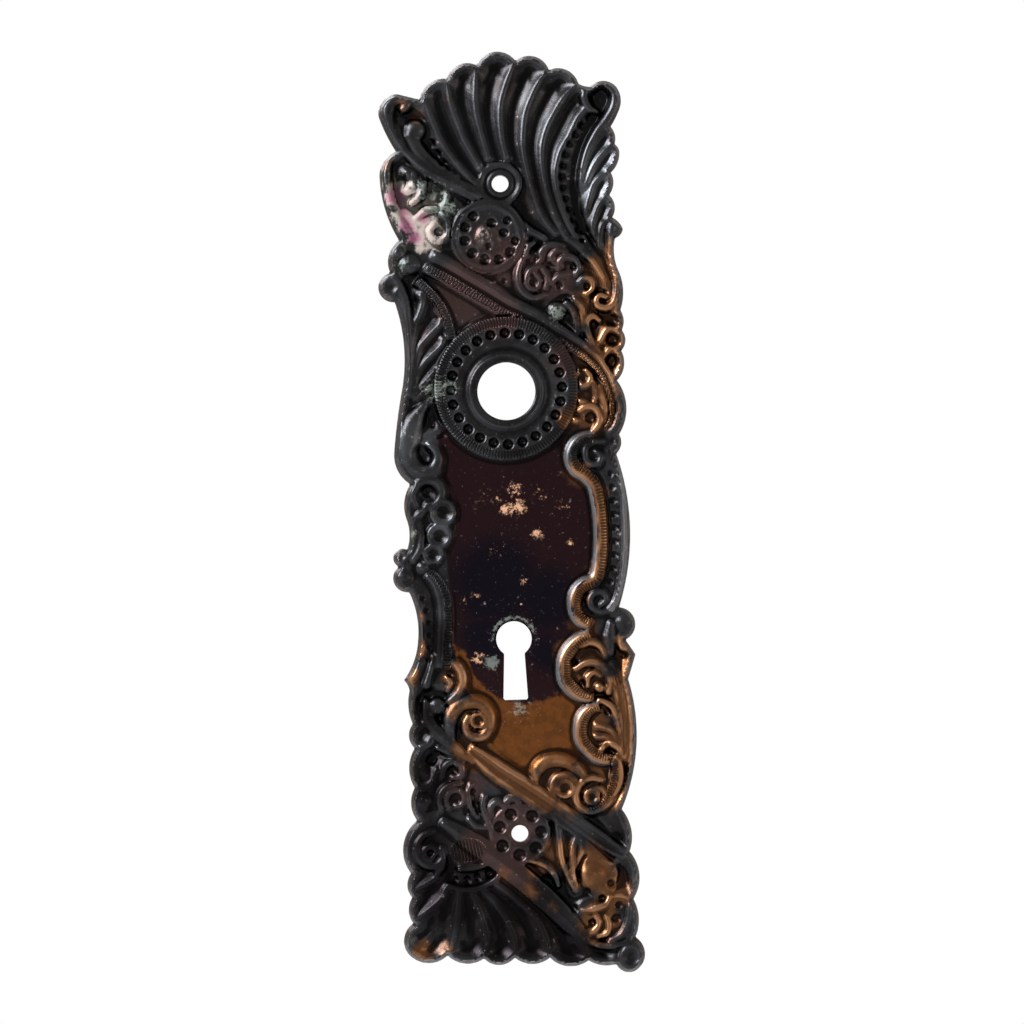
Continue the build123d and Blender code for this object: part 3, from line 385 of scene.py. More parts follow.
# Round bars: points along the top, then the widths and the heights above the ground there
TENDRIL = ((0.7, 1.2, 0.7), (0.3, 0.6, 0.3))
LOW_TENDRIL = ((0.7, 1.3, 0.7), (0.3, 0.5, 0.3))
PETAL = ((0.8, 1.6, 0.8), (0.3, 0.6, 0.3))
STALK = ((0.8, 1.3, 1.3, 0.8), (0.3, 0.6, 0.6, 0.3))
STEM = ((0.8, 1.4, 1.4, 0.8), (0.3, 0.6, 0.6, 0.3))
SLIM_STALK = ((0.7, 1.2, 1.2, 0.7), (0.3, 0.6, 0.6, 0.3))
FRAME_SCROLL = ((0.9, 1.3, 1.5, 1.5, 1.4, 0.9), (0.4, 0.6, 0.7, 0.7, 0.7, 0.4))
BARS = [
    # stems under and beside the shell
    ([(-25, 63.4), (-20, 58.9), (-14, 55.2), (-8, 52), (-3, 49), (2, 45), (7, 41.4), (11, 39.4)],
     (1.4, 2.6, 3, 3, 2.6, 1.4), (0.4, 0.6, 0.7, 0.7, 0.5, 0.3)),
    ([(-22.8, 66.8), (-20.4, 62.4), (-16.6, 58.8), (-11, 55.8)], (2.6, 2.6, 2.2, 1), (0.8, 0.7, 0.5, 0.2)),
    ([(28, 78.8), (30.2, 76.6), (30.2, 73), (28.2, 69.4), (25.2, 66), (22.8, 62), (21.2, 57)],
     (1.6, 2.2, 2.4, 2.2, 1.6, 1), (0.7, 0.9, 0.9, 0.8, 0.6, 0.3)),
    ([(17, 39), (20, 37), (22.6, 33.8), (24.8, 30), (26.4, 26)], (1, 2.2, 2.4, 2.2, 1),
     (0.3, 0.7, 0.8, 0.8, 0.3)),
    ([(21.5, 39.5), (23.8, 35.6), (26, 31.6), (27.4, 27.4), (27.6, 24)], (0.8, 1.3, 1.4, 1.2, 0.8),
     (0.3, 0.6, 0.6, 0.6, 0.3)),
    ([(30, 43), (28.6, 41.4), (28.8, 37), (29.2, 31), (29.3, 25.6), (28.6, 22.4), (26.6, 20.9),
      (24.5, 21.4), (23.9, 23), (25, 24.2), (26.4, 23.6)], (2, 2.4, 1.8, 1.6, 1.6, 1.4, 1),
     (0.7, 0.9, 0.8, 0.8, 0.8, 0.7, 0.5)),
    # volutes at the top
    ([(-24, 62.4), (-26.8, 67), (-28.4, 71), (-28.3, 74.4), (-26.3, 76.6), (-24.2, 76.2), (-23.5, 74.8),
      (-24.5, 73.8)], (1.4, 2.6, 3, 3, 2.4, 1.6), (0.4, 0.9, 0.9, 0.9, 0.8, 0.6)),
    ([(23.4, 78.4), (22.4, 75.6), (23.6, 72.8), (25.6, 71.6)], (0.8, 1.6, 1.5, 0.8), (0.4, 0.8, 0.7, 0.3)),
    # frame and curl of the painted leaf
    ([(-28, 62), (-29.2, 58), (-29.2, 53), (-28.5, 49.6), (-27.2, 46.4), (-25.6, 43.4), (-23.6, 40)],
     (1, 1.8, 2, 1.8, 1), (0.3, 0.7, 0.8, 0.7, 0.3)),
    ([(-15.2, 46.6), (-13.8, 44), (-13.9, 41), (-15.4, 39.6), (-17.6, 40), (-18.6, 42), (-17.4, 43.6)],
     (0.9, 1.6, 1.5, 1.2, 0.8), (0.4, 0.7, 0.7, 0.6, 0.4)),
    ([(-23, 49.5), (-20.5, 51.6), (-19.6, 54.6)], *LOW_TENDRIL),
    ([(-21.8, 45.6), (-19.4, 47.4), (-16.8, 47.6)], *LOW_TENDRIL),
    # leaf over the medallion
    ([(-6.8, 47.2), (-5.4, 43.6), (-5.6, 40.4), (-4, 38.6)], (0.9, 2, 2, 0.9), (0.3, 0.7, 0.7, 0.3)),
    ([(-1.6, 47), (-0.8, 43.4), (-1.6, 40.4)], *PETAL),
    ([(2.4, 46), (4.4, 42.6), (5.6, 39.6), (6.2, 36.8)], (0.8, 1.8, 1.8, 0.9), (0.3, 0.7, 0.7, 0.3)),
    # spiral right of the medallion
    ([(5.2, 34), (4.1, 31), (4, 28), (5.2, 25.4), (7.8, 23.9), (10.6, 24.6)], (0.9, 1.4, 1.5, 1.4, 0.8),
     (0.4, 0.7, 0.7, 0.7, 0.4)),
    ([(9.4, 32), (7.2, 31.2), (6.1, 29), (6.6, 26.8), (8.4, 26)], (0.7, 1.1, 1.1, 0.8),
     (0.3, 0.6, 0.6, 0.4)),
    ([(8.4, 30.4), (9.6, 28.6), (9.2, 26.9)], (0.7, 1, 0.7), (0.3, 0.6, 0.4)),
    ([(10.4, 31.4), (11.6, 29), (11, 26.4)], (0.7, 1.1, 0.7), (0.3, 0.6, 0.4)),
    ([(6.2, 35), (6.6, 37), (8.4, 38.2)], (1, 1.5, 0.8), (0.4, 0.8, 0.4)),
    ([(9.4, 33.6), (10.4, 36.2), (13, 37.6), (16, 37.2)], (0.8, 1.4, 1.4, 0.8), (0.3, 0.6, 0.7, 0.4)),
    ([(12.6, 32.6), (12.8, 34.6), (14.4, 36), (16.6, 35.8)], (0.7, 1.3, 1.3, 0.8), (0.3, 0.6, 0.7, 0.4)),
    ([(14.4, 31.4), (15, 33.4), (16.8, 34.4), (19, 33.6), (19.8, 31.4), (19, 29.8)],
     (0.8, 1.4, 1.5, 1.3, 0.8), (0.3, 0.7, 0.7, 0.6, 0.4)),
    ([(12.6, 27.6), (14.6, 29.4), (17, 29.8)], *TENDRIL),
    ([(19.8, 27.6), (21, 28.7), (22.9, 28), (23, 25.8), (21.4, 24.6)], (0.8, 1.3, 1.3, 0.8),
     (0.3, 0.7, 0.7, 0.4)),
    ([(16.2, 22.6), (18, 20), (18.7, 17), (18.9, 14.6)], (0.8, 1.5, 1.3, 0.7), (0.4, 0.7, 0.6, 0.3)),
    ([(18.4, 23.4), (20.2, 21), (20.6, 17.6), (20.2, 15.4)], (0.7, 1.3, 1.2, 0.7), (0.3, 0.6, 0.6, 0.3)),
    ([(24.6, 17.6), (23, 18.8), (21.4, 17.4), (21.6, 14.6), (22.8, 11.6), (24.8, 8.8)],
     (0.8, 1.4, 1.4, 1.4, 0.9), (0.4, 0.8, 0.8, 0.7, 0.4)),
    # leaf inside the curl of the band
    ([(18.6, 4.8), (18.2, 2.6), (19.4, 0.9), (21.3, 1.3), (21.9, 3.2), (20.8, 4.8)],
     (0.8, 1.2, 1.3, 1.2, 0.8), (0.4, 0.6, 0.7, 0.6, 0.4)),
    ([(20.6, -3.6), (18.4, -3.3), (16.6, -4.8), (16.4, -7), (17.8, -8.2)], (0.8, 1.5, 1.5, 1),
     (0.4, 0.8, 0.8, 0.5)),
    ([(18.6, -5.6), (20.6, -4.6), (22.6, -4.9), (23.9, -6.6), (23.8, -9), (22.4, -10.8)],
     (0.8, 1.5, 1.7, 1.6, 1), (0.4, 0.8, 0.8, 0.8, 0.4)),
    ([(24.3, 0.6), (24.9, -2.4), (25.4, -5.4), (25, -8.6)], (0.7, 1.5, 1.5, 0.8), (0.3, 0.7, 0.7, 0.3)),
    ([(22.6, 1.8), (23.2, -1.2), (22.8, -3.4)], (0.6, 1.1, 0.6), (0.3, 0.5, 0.3)),
    # frame of the leaf left of the rosette
    ([(-28.6, 31), (-26.6, 27.4), (-25.3, 23), (-24.9, 18), (-24.7, 12), (-24.8, 6), (-25.2, 0)],
     (1.8, 2, 1.6, 1.4, 1), (0.7, 0.8, 0.7, 0.6, 0.3)),
    # column at the left of the field
    ([(-21.6, -3.4), (-23.6, -6.2), (-25.2, -9.6), (-25.9, -13.4), (-25.2, -17.2), (-23, -19.9),
      (-20.2, -20.2), (-18.4, -18.2), (-18.4, -15.4), (-20.2, -13.6)], (2, 4.2, 4.8, 4.6, 3.8, 2.8, 1.8),
     (0.5, 1, 1, 1, 1, 0.8, 0.5)),
    ([(-24.2, -29), (-25, -26.2), (-23.8, -23.4), (-21, -22.3), (-18.2, -23.6), (-17.5, -26.3),
      (-19, -28.6), (-21.4, -28.8)], (1.2, 2, 2.2, 2.2, 2, 1.4), (0.5, 0.9, 0.9, 0.9, 0.8, 0.5)),
    ([(-25.2, -32.6), (-23.6, -31.4), (-21.6, -29.6)], (1.2, 2.2, 1.2), (0.4, 0.8, 0.4)),
    ([(-23.6, -33.6), (-23, -37), (-23.6, -40.4), (-25.4, -43)], (0.8, 1.2, 1.4, 1.2),
     (0.3, 0.5, 0.6, 0.5)),
    ([(-26, -52), (-24.9, -56), (-24.5, -60), (-24.4, -65), (-25.2, -69)], (0.9, 1.3, 1.3, 0.9),
     (0.3, 0.6, 0.6, 0.3)),
    ([(-28.4, -74), (-26, -72.6), (-24.4, -70)], (1, 1.4, 0.8), (0.4, 0.7, 0.3)),
    ([(-21, -68), (-21.9, -72), (-23, -75.4)], (0.6, 1.4, 1.8), (0.3, 0.7, 0.8)),
    # scrolls at the lower left
    ([(-17.6, -69.8), (-15.4, -70.2), (-13.9, -72.2), (-13.6, -75), (-14.8, -77.8), (-17.2, -79.8)],
     (1.2, 2.2, 2.2, 2, 1.2), (0.5, 0.9, 0.9, 0.8, 0.4)),
    ([(-17.6, -73.6), (-16.8, -75.2), (-17.6, -77)], (0.8, 1.4, 0.9), (0.3, 0.5, 0.3)),
    ([(-16.9, -89.5), (-17.3, -86), (-16.4, -82.9), (-14, -80.8), (-11, -80.1), (-8.4, -81), (-6.9, -83.4),
      (-6.9, -86.4), (-8.4, -88.8), (-10.8, -89.4), (-12.8, -88), (-13.3, -85.8), (-12.4, -83.9)],
     (1.6, 3, 3.2, 3.2, 3, 2.6, 2.2, 1.8, 1.2), (0.5, 1, 1, 1, 1, 1, 0.9, 0.7, 0.5)),
    ([(-23.4, -79.6), (-23, -83.6), (-20.8, -87.4), (-17.8, -90.4), (-14.6, -93), (-11.6, -95.4)],
     (1, 2.4, 2.8, 2.4, 1.2), (0.3, 0.7, 0.8, 0.7, 0.3)),
    ([(-20.6, -91.8), (-17.4, -93.2), (-14, -95.4)], *PETAL),
    ([(-26.2, -98.4), (-26.6, -95), (-25.2, -92), (-22.4, -90.6)], (1, 2.2, 2.2, 1), (0.4, 0.8, 0.8, 0.4)),
    ([(-19.6, -99.4), (-18.9, -96.6), (-16.6, -95.4), (-14.5, -96.9), (-14.9, -99.3), (-16.9, -99.6)],
     (0.9, 1.6, 1.7, 1.6, 1), (0.4, 0.8, 0.8, 0.8, 0.4)),
    ([(-20.2, -108), (-20.6, -105.2), (-19.6, -102.8), (-17.6, -101.5), (-15, -101.2)],
     (0.9, 1.3, 1.3, 0.8), (0.4, 0.7, 0.7, 0.4)),
    ([(-18.2, -107.6), (-18.8, -105.4), (-17.8, -103.4), (-15.6, -102.9), (-14.2, -104.4), (-14.8, -106.6),
      (-16.4, -107)], (0.8, 1.2, 1.2, 1.1, 0.8), (0.4, 0.7, 0.7, 0.6, 0.4)),
    ([(-12.4, -101.6), (-13, -104.4), (-12.4, -107.4), (-10.8, -110)], (0.8, 1.2, 1.2, 0.8),
     (0.3, 0.6, 0.6, 0.3)),
    ([(-9, -104.6), (-9.4, -107.6), (-8.4, -110.6), (-7.8, -113)], *STALK),
    ([(-13, -110.6), (-11.4, -112.4), (-9, -112.8)], *TENDRIL),
    ([(-7.4, -110), (-7.2, -107.4), (-5.4, -106.2), (-3.8, -107.6)], *STEM),
    ([(-3.6, -108.2), (-3, -106), (-1.2, -105.4), (0.2, -106.8)], *STALK),
    # leaves and scrolls inside the frames at the right
    ([(24.6, -13.8), (22.4, -13.9), (20.4, -15), (19.9, -17.4), (21, -19.4), (23.2, -19.4), (24, -17.6),
      (22.8, -16.4)], *FRAME_SCROLL),
    ([(25.4, -57.4), (22.8, -57.8), (20.6, -56.8), (20, -54.6), (21.4, -52.8), (23.6, -53), (24.2, -54.9),
      (22.9, -56)], *FRAME_SCROLL),
    ([(25.2, -61), (24.8, -64.6), (25, -68.4)], (1.4, 2.6, 1.4), (0.4, 0.7, 0.4)),
    ([(27.4, -64.6), (28, -67), (30, -69.2)], (0.8, 1.5, 0.8), (0.3, 0.6, 0.4)),
    ([(15.6, -72.4), (18.4, -71), (21.4, -71.2), (23.8, -73.2), (24.6, -76), (24, -78.8)],
     (1, 1.8, 2, 1.8, 1), (0.4, 0.8, 0.8, 0.8, 0.4)),
    ([(18.6, -76.8), (18.8, -74.6), (20.6, -73.4), (22.2, -74.4)], (0.8, 1.3, 1.2, 0.8),
     (0.4, 0.7, 0.6, 0.4)),
    ([(17.4, -66.6), (20, -65.6), (22.4, -66.8), (23.6, -69.6)], (0.8, 1.6, 1.5, 0.8),
     (0.3, 0.5, 0.5, 0.3)),
    ([(21.6, -80.6), (24.2, -82), (26, -85), (26.8, -89)], (0.9, 1.5, 1.4, 0.8), (0.4, 0.7, 0.6, 0.3)),
    ([(21.4, -93.6), (24, -92.2), (26, -93), (27.4, -95.6)], (0.8, 1.5, 1.5, 1), (0.4, 0.7, 0.7, 0.4)),
    ([(4.4, -101.4), (4.8, -98.8), (6.6, -96.6), (9.6, -95.8), (12.8, -96.4), (15.4, -98.2),
      (17.4, -100.8)], (1.4, 3, 3.2, 3.2, 2.8, 1.6), (0.5, 1, 1, 1, 0.9, 0.5)),
    ([(9.2, -105.6), (8.6, -102.8), (9.8, -100.4), (12.4, -99.6), (14.6, -101), (15, -103.4)],
     (0.8, 1.4, 1.5, 1.4, 0.9), (0.4, 0.7, 0.7, 0.7, 0.4)),
    ([(21.6, -101.4), (18.6, -100.9), (15.9, -102.4), (14.8, -105.4), (15.8, -108.2), (18.6, -109.4),
      (21.4, -108.2), (22.6, -105.6), (21.4, -103.6), (19.2, -103.6)], (0.9, 1.6, 1.7, 1.7, 1.5, 0.9),
     (0.4, 0.8, 0.8, 0.8, 0.7, 0.4)),
    ([(29.6, -74), (30, -80), (30.1, -88), (29.8, -95), (29.2, -100), (27.6, -105), (25.4, -109)],
     (1, 1.3, 1.3, 1.3, 1), (0.3, 0.6, 0.6, 0.6, 0.3)),
    # bottom left shell: spiral, arcs and their rim
    ([(-22.8, -113.4), (-25.2, -114.6), (-26.7, -117), (-26.4, -120), (-24.6, -122), (-22, -122.2),
      (-20.2, -120.4), (-20.4, -118)], (1, 1.6, 1.7, 1.6, 1.2), (0.4, 0.8, 0.8, 0.8, 0.4)),
    ([(-21.6, -118.8), (-22.6, -117.4), (-24.4, -117.6), (-25, -119.4), (-23.6, -120.6), (-22.4, -119.8)],
     (0.8, 1.2, 1.2, 0.8), (0.4, 0.7, 0.7, 0.5)),
    ([(-19.8, -120.4), (-20.4, -122.6), (-22, -124.8)], (0.9, 1.3, 0.8), (0.4, 0.7, 0.3)),
    ([(-16, -123.4), (-12.4, -123.2), (-9.4, -122.6)], (0.7, 1.1, 0.7), (0.3, 0.5, 0.3)),
    ([(-19, -127.4), (-16, -128.5), (-12, -128.6), (-9, -127.6), (-6, -125.8)], (0.7, 1.2, 0.9),
     (0.3, 0.7, 0.5)),
    # lower right leaf
    ([(9.6, -112.6), (10.2, -117), (10.8, -122), (12.4, -126.6), (14, -130)], *SLIM_STALK),
    ([(14.8, -115.4), (13.5, -119), (13.4, -124), (14.4, -129)], *SLIM_STALK),
    ([(16.8, -116.6), (16, -120), (14.8, -123)], *TENDRIL),
    ([(2, -121.6), (6, -122.8), (8.6, -125.4), (9.6, -128.4)], (0.7, 1.4, 1.4, 0.7), (0.3, 0.5, 0.5, 0.3)),
    ([(15.2, -116.2), (18.2, -120.4), (20.2, -125), (21, -129.6)], (0.8, 6.6, 9, 7.6, 5),
     (0.2, 0.1, 0.1, 0.1, 0.1)),
    ([(15.6, -135), (18.4, -134.6), (21.4, -133.6), (22.9, -131.6)], (0.8, 1.8, 1.8, 0.9),
     (0.3, 0.9, 0.9, 0.4)),
    ([(13.6, -138), (15.4, -140.6), (18, -140.6), (19.6, -138.6), (19, -136.4)], (0.9, 1.5, 1.5, 0.9),
     (0.4, 0.7, 0.7, 0.4)),
    ([(19.6, -141.8), (21.8, -141), (22.4, -138.8), (21.8, -136.8)], (0.8, 1.3, 1.3, 0.8),
     (0.3, 0.7, 0.7, 0.3)),
    ([(15.4, -142.4), (19.4, -144), (23, -144.4), (27, -143.6)], *STEM),
    ([(22.6, -143), (25.6, -141.4), (27.4, -138), (27.8, -134)], (0.8, 1.5, 1.5, 0.8),
     (0.3, 0.6, 0.6, 0.3)),
]

# Narrow grooves: points, width and depth
GROOVES = [
    ([(27.5, 73.5), (25.8, 71.5), (23.5, 67), (21.5, 63), (20, 59), (19.3, 54), (19.3, 50), (20, 46),
      (21, 42), (23, 38), (25.2, 34), (27, 30), (27.9, 27), (28, 24)], 2, 1.1),
    ([(-25.6, 65.6), (-26.6, 69.4), (-26.4, 72.4), (-25, 73)], 1, 0.6),
    ([(0, 47.5), (2.5, 46), (5, 45)], 0.8, 0.5),
    ([(-21, 58.2), (-13, 53.6), (-6, 49.8), (0, 46)], 0.7, 0.35),
    ([(3, 43), (6, 40.9), (10, 38.8)], 0.8, 0.5),
    ([(20.5, 34), (23, 31.5), (25, 28.5), (26.3, 25.5)], 1.2, 0.8),
    ([(27, 24.8), (25, 25.4), (23, 23.8), (22.6, 21.5), (23.3, 20)], 1, 0.6),
    ([(9, -110), (14, -114), (18, -117), (22, -120.5), (25, -123.5), (27, -126.5), (27.3, -129)], 1.1, 0.7),
    ([(28, -97), (27.8, -101), (26.3, -104.5), (24, -107)], 1, 0.6),
    ([(-20.6, -4.6), (-20.2, -7), (-19, -8.8)], 1.2, 0.8),
    ([(-16, -10.4), (-18.6, -11.6)], 1.6, 0.8),
    ([(17.3, -120.3), (15.7, -122.4), (14.8, -125), (15.2, -128)], 1.1, 0.8),
]

# Round hollows pressed in: centre, radius and depth
PITS = [
    ((26.6, 75.4), 2.9, 1.2), ((-25, 55), 2.2, 0.9), ((-18.5, 53), 1, 0.8), ((-15.8, 50.5), 1, 0.8),
    ((-12.5, 50.3), 1, 0.7), ((-20.5, 49), 1.2, 0.8), ((-16.4, 41.8), 1.1, 0.9), ((0.2, 28.7), 0.8, 0.6),
    ((18.2, 31.8), 0.9, 0.8), ((12.3, 32.4), 1, 0.9), ((9, 34.2), 0.9, 0.8), ((21.6, 26.4), 0.9, 0.8),
    ((14.6, 27), 1, 0.6), ((28.2, 17.3), 2, 1), ((28, 12.5), 2, 1), ((27.6, 7.2), 1.9, 1),
    ((23, 16.6), 0.9, 0.7), ((17.3, 3.4), 1, 0.8), ((17.6, -6.4), 0.8, 0.6), ((21.4, -7.6), 1.5, 0.9),
    ((27.4, -13.4), 0.9, 0.6), ((-22.4, -16), 3, 1.3), ((-21.2, -25.4), 1.7, 0.9), ((-22.2, -95), 1.3, 1),
    ((-17, -97.5), 0.9, 0.6), ((23.6, -83.7), 1.1, 0.9), ((23.3, -92.8), 1.1, 0.9), ((28.4, -68.9), 1.2, 1),
    ((17.4, -76.2), 1.2, 0.8), ((15.4, -70.6), 1.1, 0.8), ((-16.9, -72.8), 1, 0.7),
    ((23.2, -128.2), 1.3, 0.9), ((20.8, -132), 1.1, 0.9), ((25, -134), 1.1, 0.9), ((18, -138.2), 1.1, 0.9),
    ((24.4, -137.2), 1.4, 0.9), ((6, -126.7), 1, 0.7), ((13.6, -134.6), 1.2, 0.7),
    ((-18.5, -124.2), 0.9, 0.8), ((-17, -126), 0.9, 0.7), ((-14, -126.2), 1.1, 0.9),
    ((-11.4, -125.7), 1.1, 0.9), ((-8.5, -124.9), 1, 0.8), ((-17.8, 64.8), 1.3, 0.8),
    ((-16.3, 62.1), 1.2, 0.8), ((-14.8, 59.6), 1, 0.7), ((-13.3, 57.8), 0.9, 0.6),
    ((-11.8, 56.6), 0.8, 0.5), ((-12, -103.4), 0.9, 0.7), ((-11.4, -106.6), 0.9, 0.7),
    ((-10.8, -108.6), 0.9, 0.6), ((-13.8, -108.8), 0.8, 0.6),
]

# Cups with a raised lip: centre, radius and depth
CUPS = [
    ((-17.3, -30.9), 3.2, 1.1), ((-18.5, -36.9), 3, 1.1), ((-20.2, -41.7), 2.5, 1),
    ((-28.6, -41.8), 1.6, 0.6), ((-9.9, -85), 2, 0.9), ((12, -103.2), 2.4, 0.8), ((18.9, -105.6), 2, 0.7),
    ((27.9, -147.3), 2.8, 0.7), ((-29.4, 27.9), 2.4, 0.6),
]

# Round swellings: centre, radius and height above the ground
PEARLS = [
    ((28.7, -60.8), 2.7, 0.9), ((-27.8, -47.4), 2.3, 0.8), ((18.5, -126), 3.9, 1.0),
    ((-24.2, 33.6), 2.8, 0.9), ((-26.9, 36.8), 2, 0.7), ((21.8, -77.4), 1.7, 0.8),
    ((-21.6, 68.3), 2.9, 0.9), ((13.8, 20.4), 2.6, 0.6), ((-5.2, 29.3), 0.6, 0.3), ((-2.3, 28.2), 0.6, 0.3),
    ((-20.4, -81), 2.4, 0.7), ((-25, -105.8), 2.4, 0.5), ((6.8, 29), 0.9, 0.5), ((-23, -45), 1.8, 0.6),
]

# Rows of small dimples: points along the row, how many, first and last radius
DIMPLE_ROWS = [
    ([(23.8, 70.2), (20.5, 66.8), (18, 63), (16.6, 58.5), (16.1, 54), (16.9, 50), (18, 45.7), (19.3, 41.8),
      (20.8, 38.5)], 13, 1.15, 0.8),
    ([(26.4, -22), (26.8, -30), (26.9, -38), (26.5, -45), (25.4, -50)], 9, 1.1, 0.9),
    ([(-23.4, -53), (-22.3, -57), (-21.8, -61), (-22, -66), (-22.4, -69)], 6, 0.9, 0.7),
]

# Ground that stands high under close foliage: centre, radius and how far below the general ground
PADS = [
    ((8, 29), 7, 0.45), ((14, 33.5), 5.5, 0.4), ((19, 29), 5, 0.35), ((21, 22.5), 4, 0.4),
    ((21, -2), 5, 0.3), ((20.5, -73), 5, 0.5), ((22.5, -87), 4.5, 0.4), ((11.5, -101.5), 5, 0.4),
    ((19.5, -104.5), 4.5, 0.4), ((8, -121), 5, 0.5), ((12.5, -119.5), 4.5, 0.5), ((18.5, -137), 6, 0.2),
    ((23, -136), 4, 0.2), ((-17.5, -98), 4.5, 0.5), ((-14, -105), 5, 0.45), ((-20.5, -103.5), 4, 0.5),
    ((-13, -126), 4.5, 0.9),
]

# Dimples of the medallion: x, z and radius
MEDALLION_DIMPLES = [
    (-7.3, 45.6, 1.5), (-9.4, 42.8, 1.5), (-9.5, 39.3, 1.5), (-7.7, 36.2, 1.6), (-4.6, 34.4, 1.6),
    (-1, 34.3, 1.5), (2, 36, 1.6), (3.4, 38.9, 1.3), (-2.6, 43.7, 1.5), (-3.6, 37.8, 1.2), (0.6, 41.2, 1.4),
    (1.4, 44.2, 1.2),
]


# Tools that carve the height
def round_patch(centre, radius, reach=1.0):
    """The grid about a centre: its window, and the distance from the centre as a share of the radius."""
    x, z = centre
    size = reach * radius
    where = window((x - size, z - size), (x + size, z + size))
    return where, np.hypot(PX[where] - x, PZ[where] - z) / radius


def sink(centre, radius, depth):
    """Presses a round hollow into the height: a paraboloid of this depth with a soft lip."""
    where, u = round_patch(centre, radius)
    height[where] -= depth * np.maximum(1 - u * u, 0) ** 0.8


def swell(centre, radius, rise):
    """Raises a round swelling: a full dome that starts 0.7 under the ground and stands this far over it."""
    where, u = round_patch(centre, radius)
    top = GROUND - 0.7 + (rise + 0.7) * np.maximum(1 - u * u, 0) ** 0.7
    height[where] = np.where(u < 1, smooth_max(height[where], top, 0.5), height[where])


def raise_bar(points, widths, rises):
    """Raises a round bar along a line: its section is a full curve that starts 0.9 under the ground, so
    that it stands in the hollows beside it, and reaches 0.62 of the width and 0.4 mm to each side."""
    line = smooth_line(points)
    where, d, share, _ = near(line, max(widths) * 0.64 + 0.5)
    u = d / (along(widths, share) * 0.62 + 0.4)
    top = GROUND - 0.9 + (0.85 * along(rises, share) + 1.0) * np.maximum(1 - u * u, 0) ** 0.7
    height[where] = np.where(u < 1, smooth_max(height[where], top, 0.4), height[where])


def mould(points, offsets, levels, widths, hatched, pale=None):
    """Lays a moulding along a line: the section is read at the signed distance to the left of its travel."""
    line = smooth_line(points)
    where, d, share, side = near(line, max(-offsets[0], offsets[-1]) * max(widths) + 0.3)
    size = along(widths, share)
    v = side * d / size
    fade = ease(share, 0, 0.03) * ease(1 - share, 0, 0.03)
    weight = ease(np.minimum(v - offsets[0], offsets[-1] - v) * size, -0.1, 0.3) * fade
    height[where] += (GROUND + np.interp(v, offsets, levels) - height[where]) * weight
    if hatched:
        low, high = hatched
        strip = ease(v, low - 0.1, low + 0.2) * (1 - ease(v, high - 0.2, high + 0.1)) * fade
        length = np.hypot(*(line[1:] - line[:-1]).T).sum()
        chosen = strip > hatch_mask[where]
        hatch_mask[where] = np.where(chosen, strip, hatch_mask[where])
        hatch_turn[where] = np.where(chosen, share * length / HATCH_PITCH, hatch_turn[where])
    # The pale strip on the slope: partly worn metal, partly a painted highlight
    if pale:
        strip = ease(v, pale[0], pale[0] + 0.4) * (1 - ease(v, pale[1] - 0.4, pale[1])) * fade
        pale_edge_highlight[where] = np.maximum(pale_edge_highlight[where], strip)


def press_cup(centre, radius, depth):
    """Presses a bowl with a raised lip: its section is read at the share of the radius."""
    where, u = round_patch(centre, radius, 1.25)
    levels = (0.5 - depth, 0.6 - depth, 0.2, 0.65, 0.75, 0.5, 0)
    bowl = GROUND + np.interp(u, (0, 0.35, 0.65, 0.85, 0.98, 1.12, 1.25), levels)
    weight = 1 - ease(u, 1.0, 1.25)
    height[where] += (np.maximum(bowl, height[where] - 9 * (u < 1)) - height[where]) * weight


def cut_groove(points, width, depth):
    """Cuts a groove with a bell-shaped section, shallower towards its ends."""
    where, d, share, _ = near(smooth_line(points), width)
    fade = ease(share, -0.05, 0.15) * ease(1 - share, -0.05, 0.15)
    height[where] -= depth * fade * np.exp(-((d / (0.5 * width)) ** 2) * 1.4)


# Distances from the edges
outline = closed_arcs(OUTLINE_START, OUTLINE)
in_plate = depth_inside(outline, 6)
field_depth = depth_inside(closed_arcs(FIELD_START, FIELD_ARCS), 4)
triangle_depth = depth_inside(closed_arcs(TRIANGLE_START, TRIANGLE_ARCS), 4)
from_knob = np.hypot(PX, PZ)
upper_radius = np.hypot(PX - UPPER_SCREW[0], PZ - UPPER_SCREW[1])
lower_radius = np.hypot(PX - LOWER_SCREW[0], PZ - LOWER_SCREW[1])
throat = KEY_CENTRE[1] - math.sqrt(KEY_RADIUS ** 2 - KEY_NECK_HALF ** 2)
key_loop = np.vstack([
    arc_points((-KEY_NECK_HALF, throat), (0, KEY_CENTRE[1] + KEY_RADIUS), (KEY_NECK_HALF, throat)),
    smooth_line([(KEY_NECK_HALF, throat), (KEY_FOOT_HALF, KEY_FOOT)], 36)[:-1],
    smooth_line([(KEY_FOOT_HALF, KEY_FOOT), (-KEY_FOOT_HALF, KEY_FOOT)], 18)[:-1],
    smooth_line([(-KEY_FOOT_HALF, KEY_FOOT), (-KEY_NECK_HALF, throat)], 36)[:-1],
])
key_depth = depth_inside(key_loop, 6)
solid = np.minimum.reduce([
    in_plate, from_knob - KNOB_RADIUS, upper_radius - SCREW_RADIUS, lower_radius - SCREW_RADIUS, -key_depth,
])

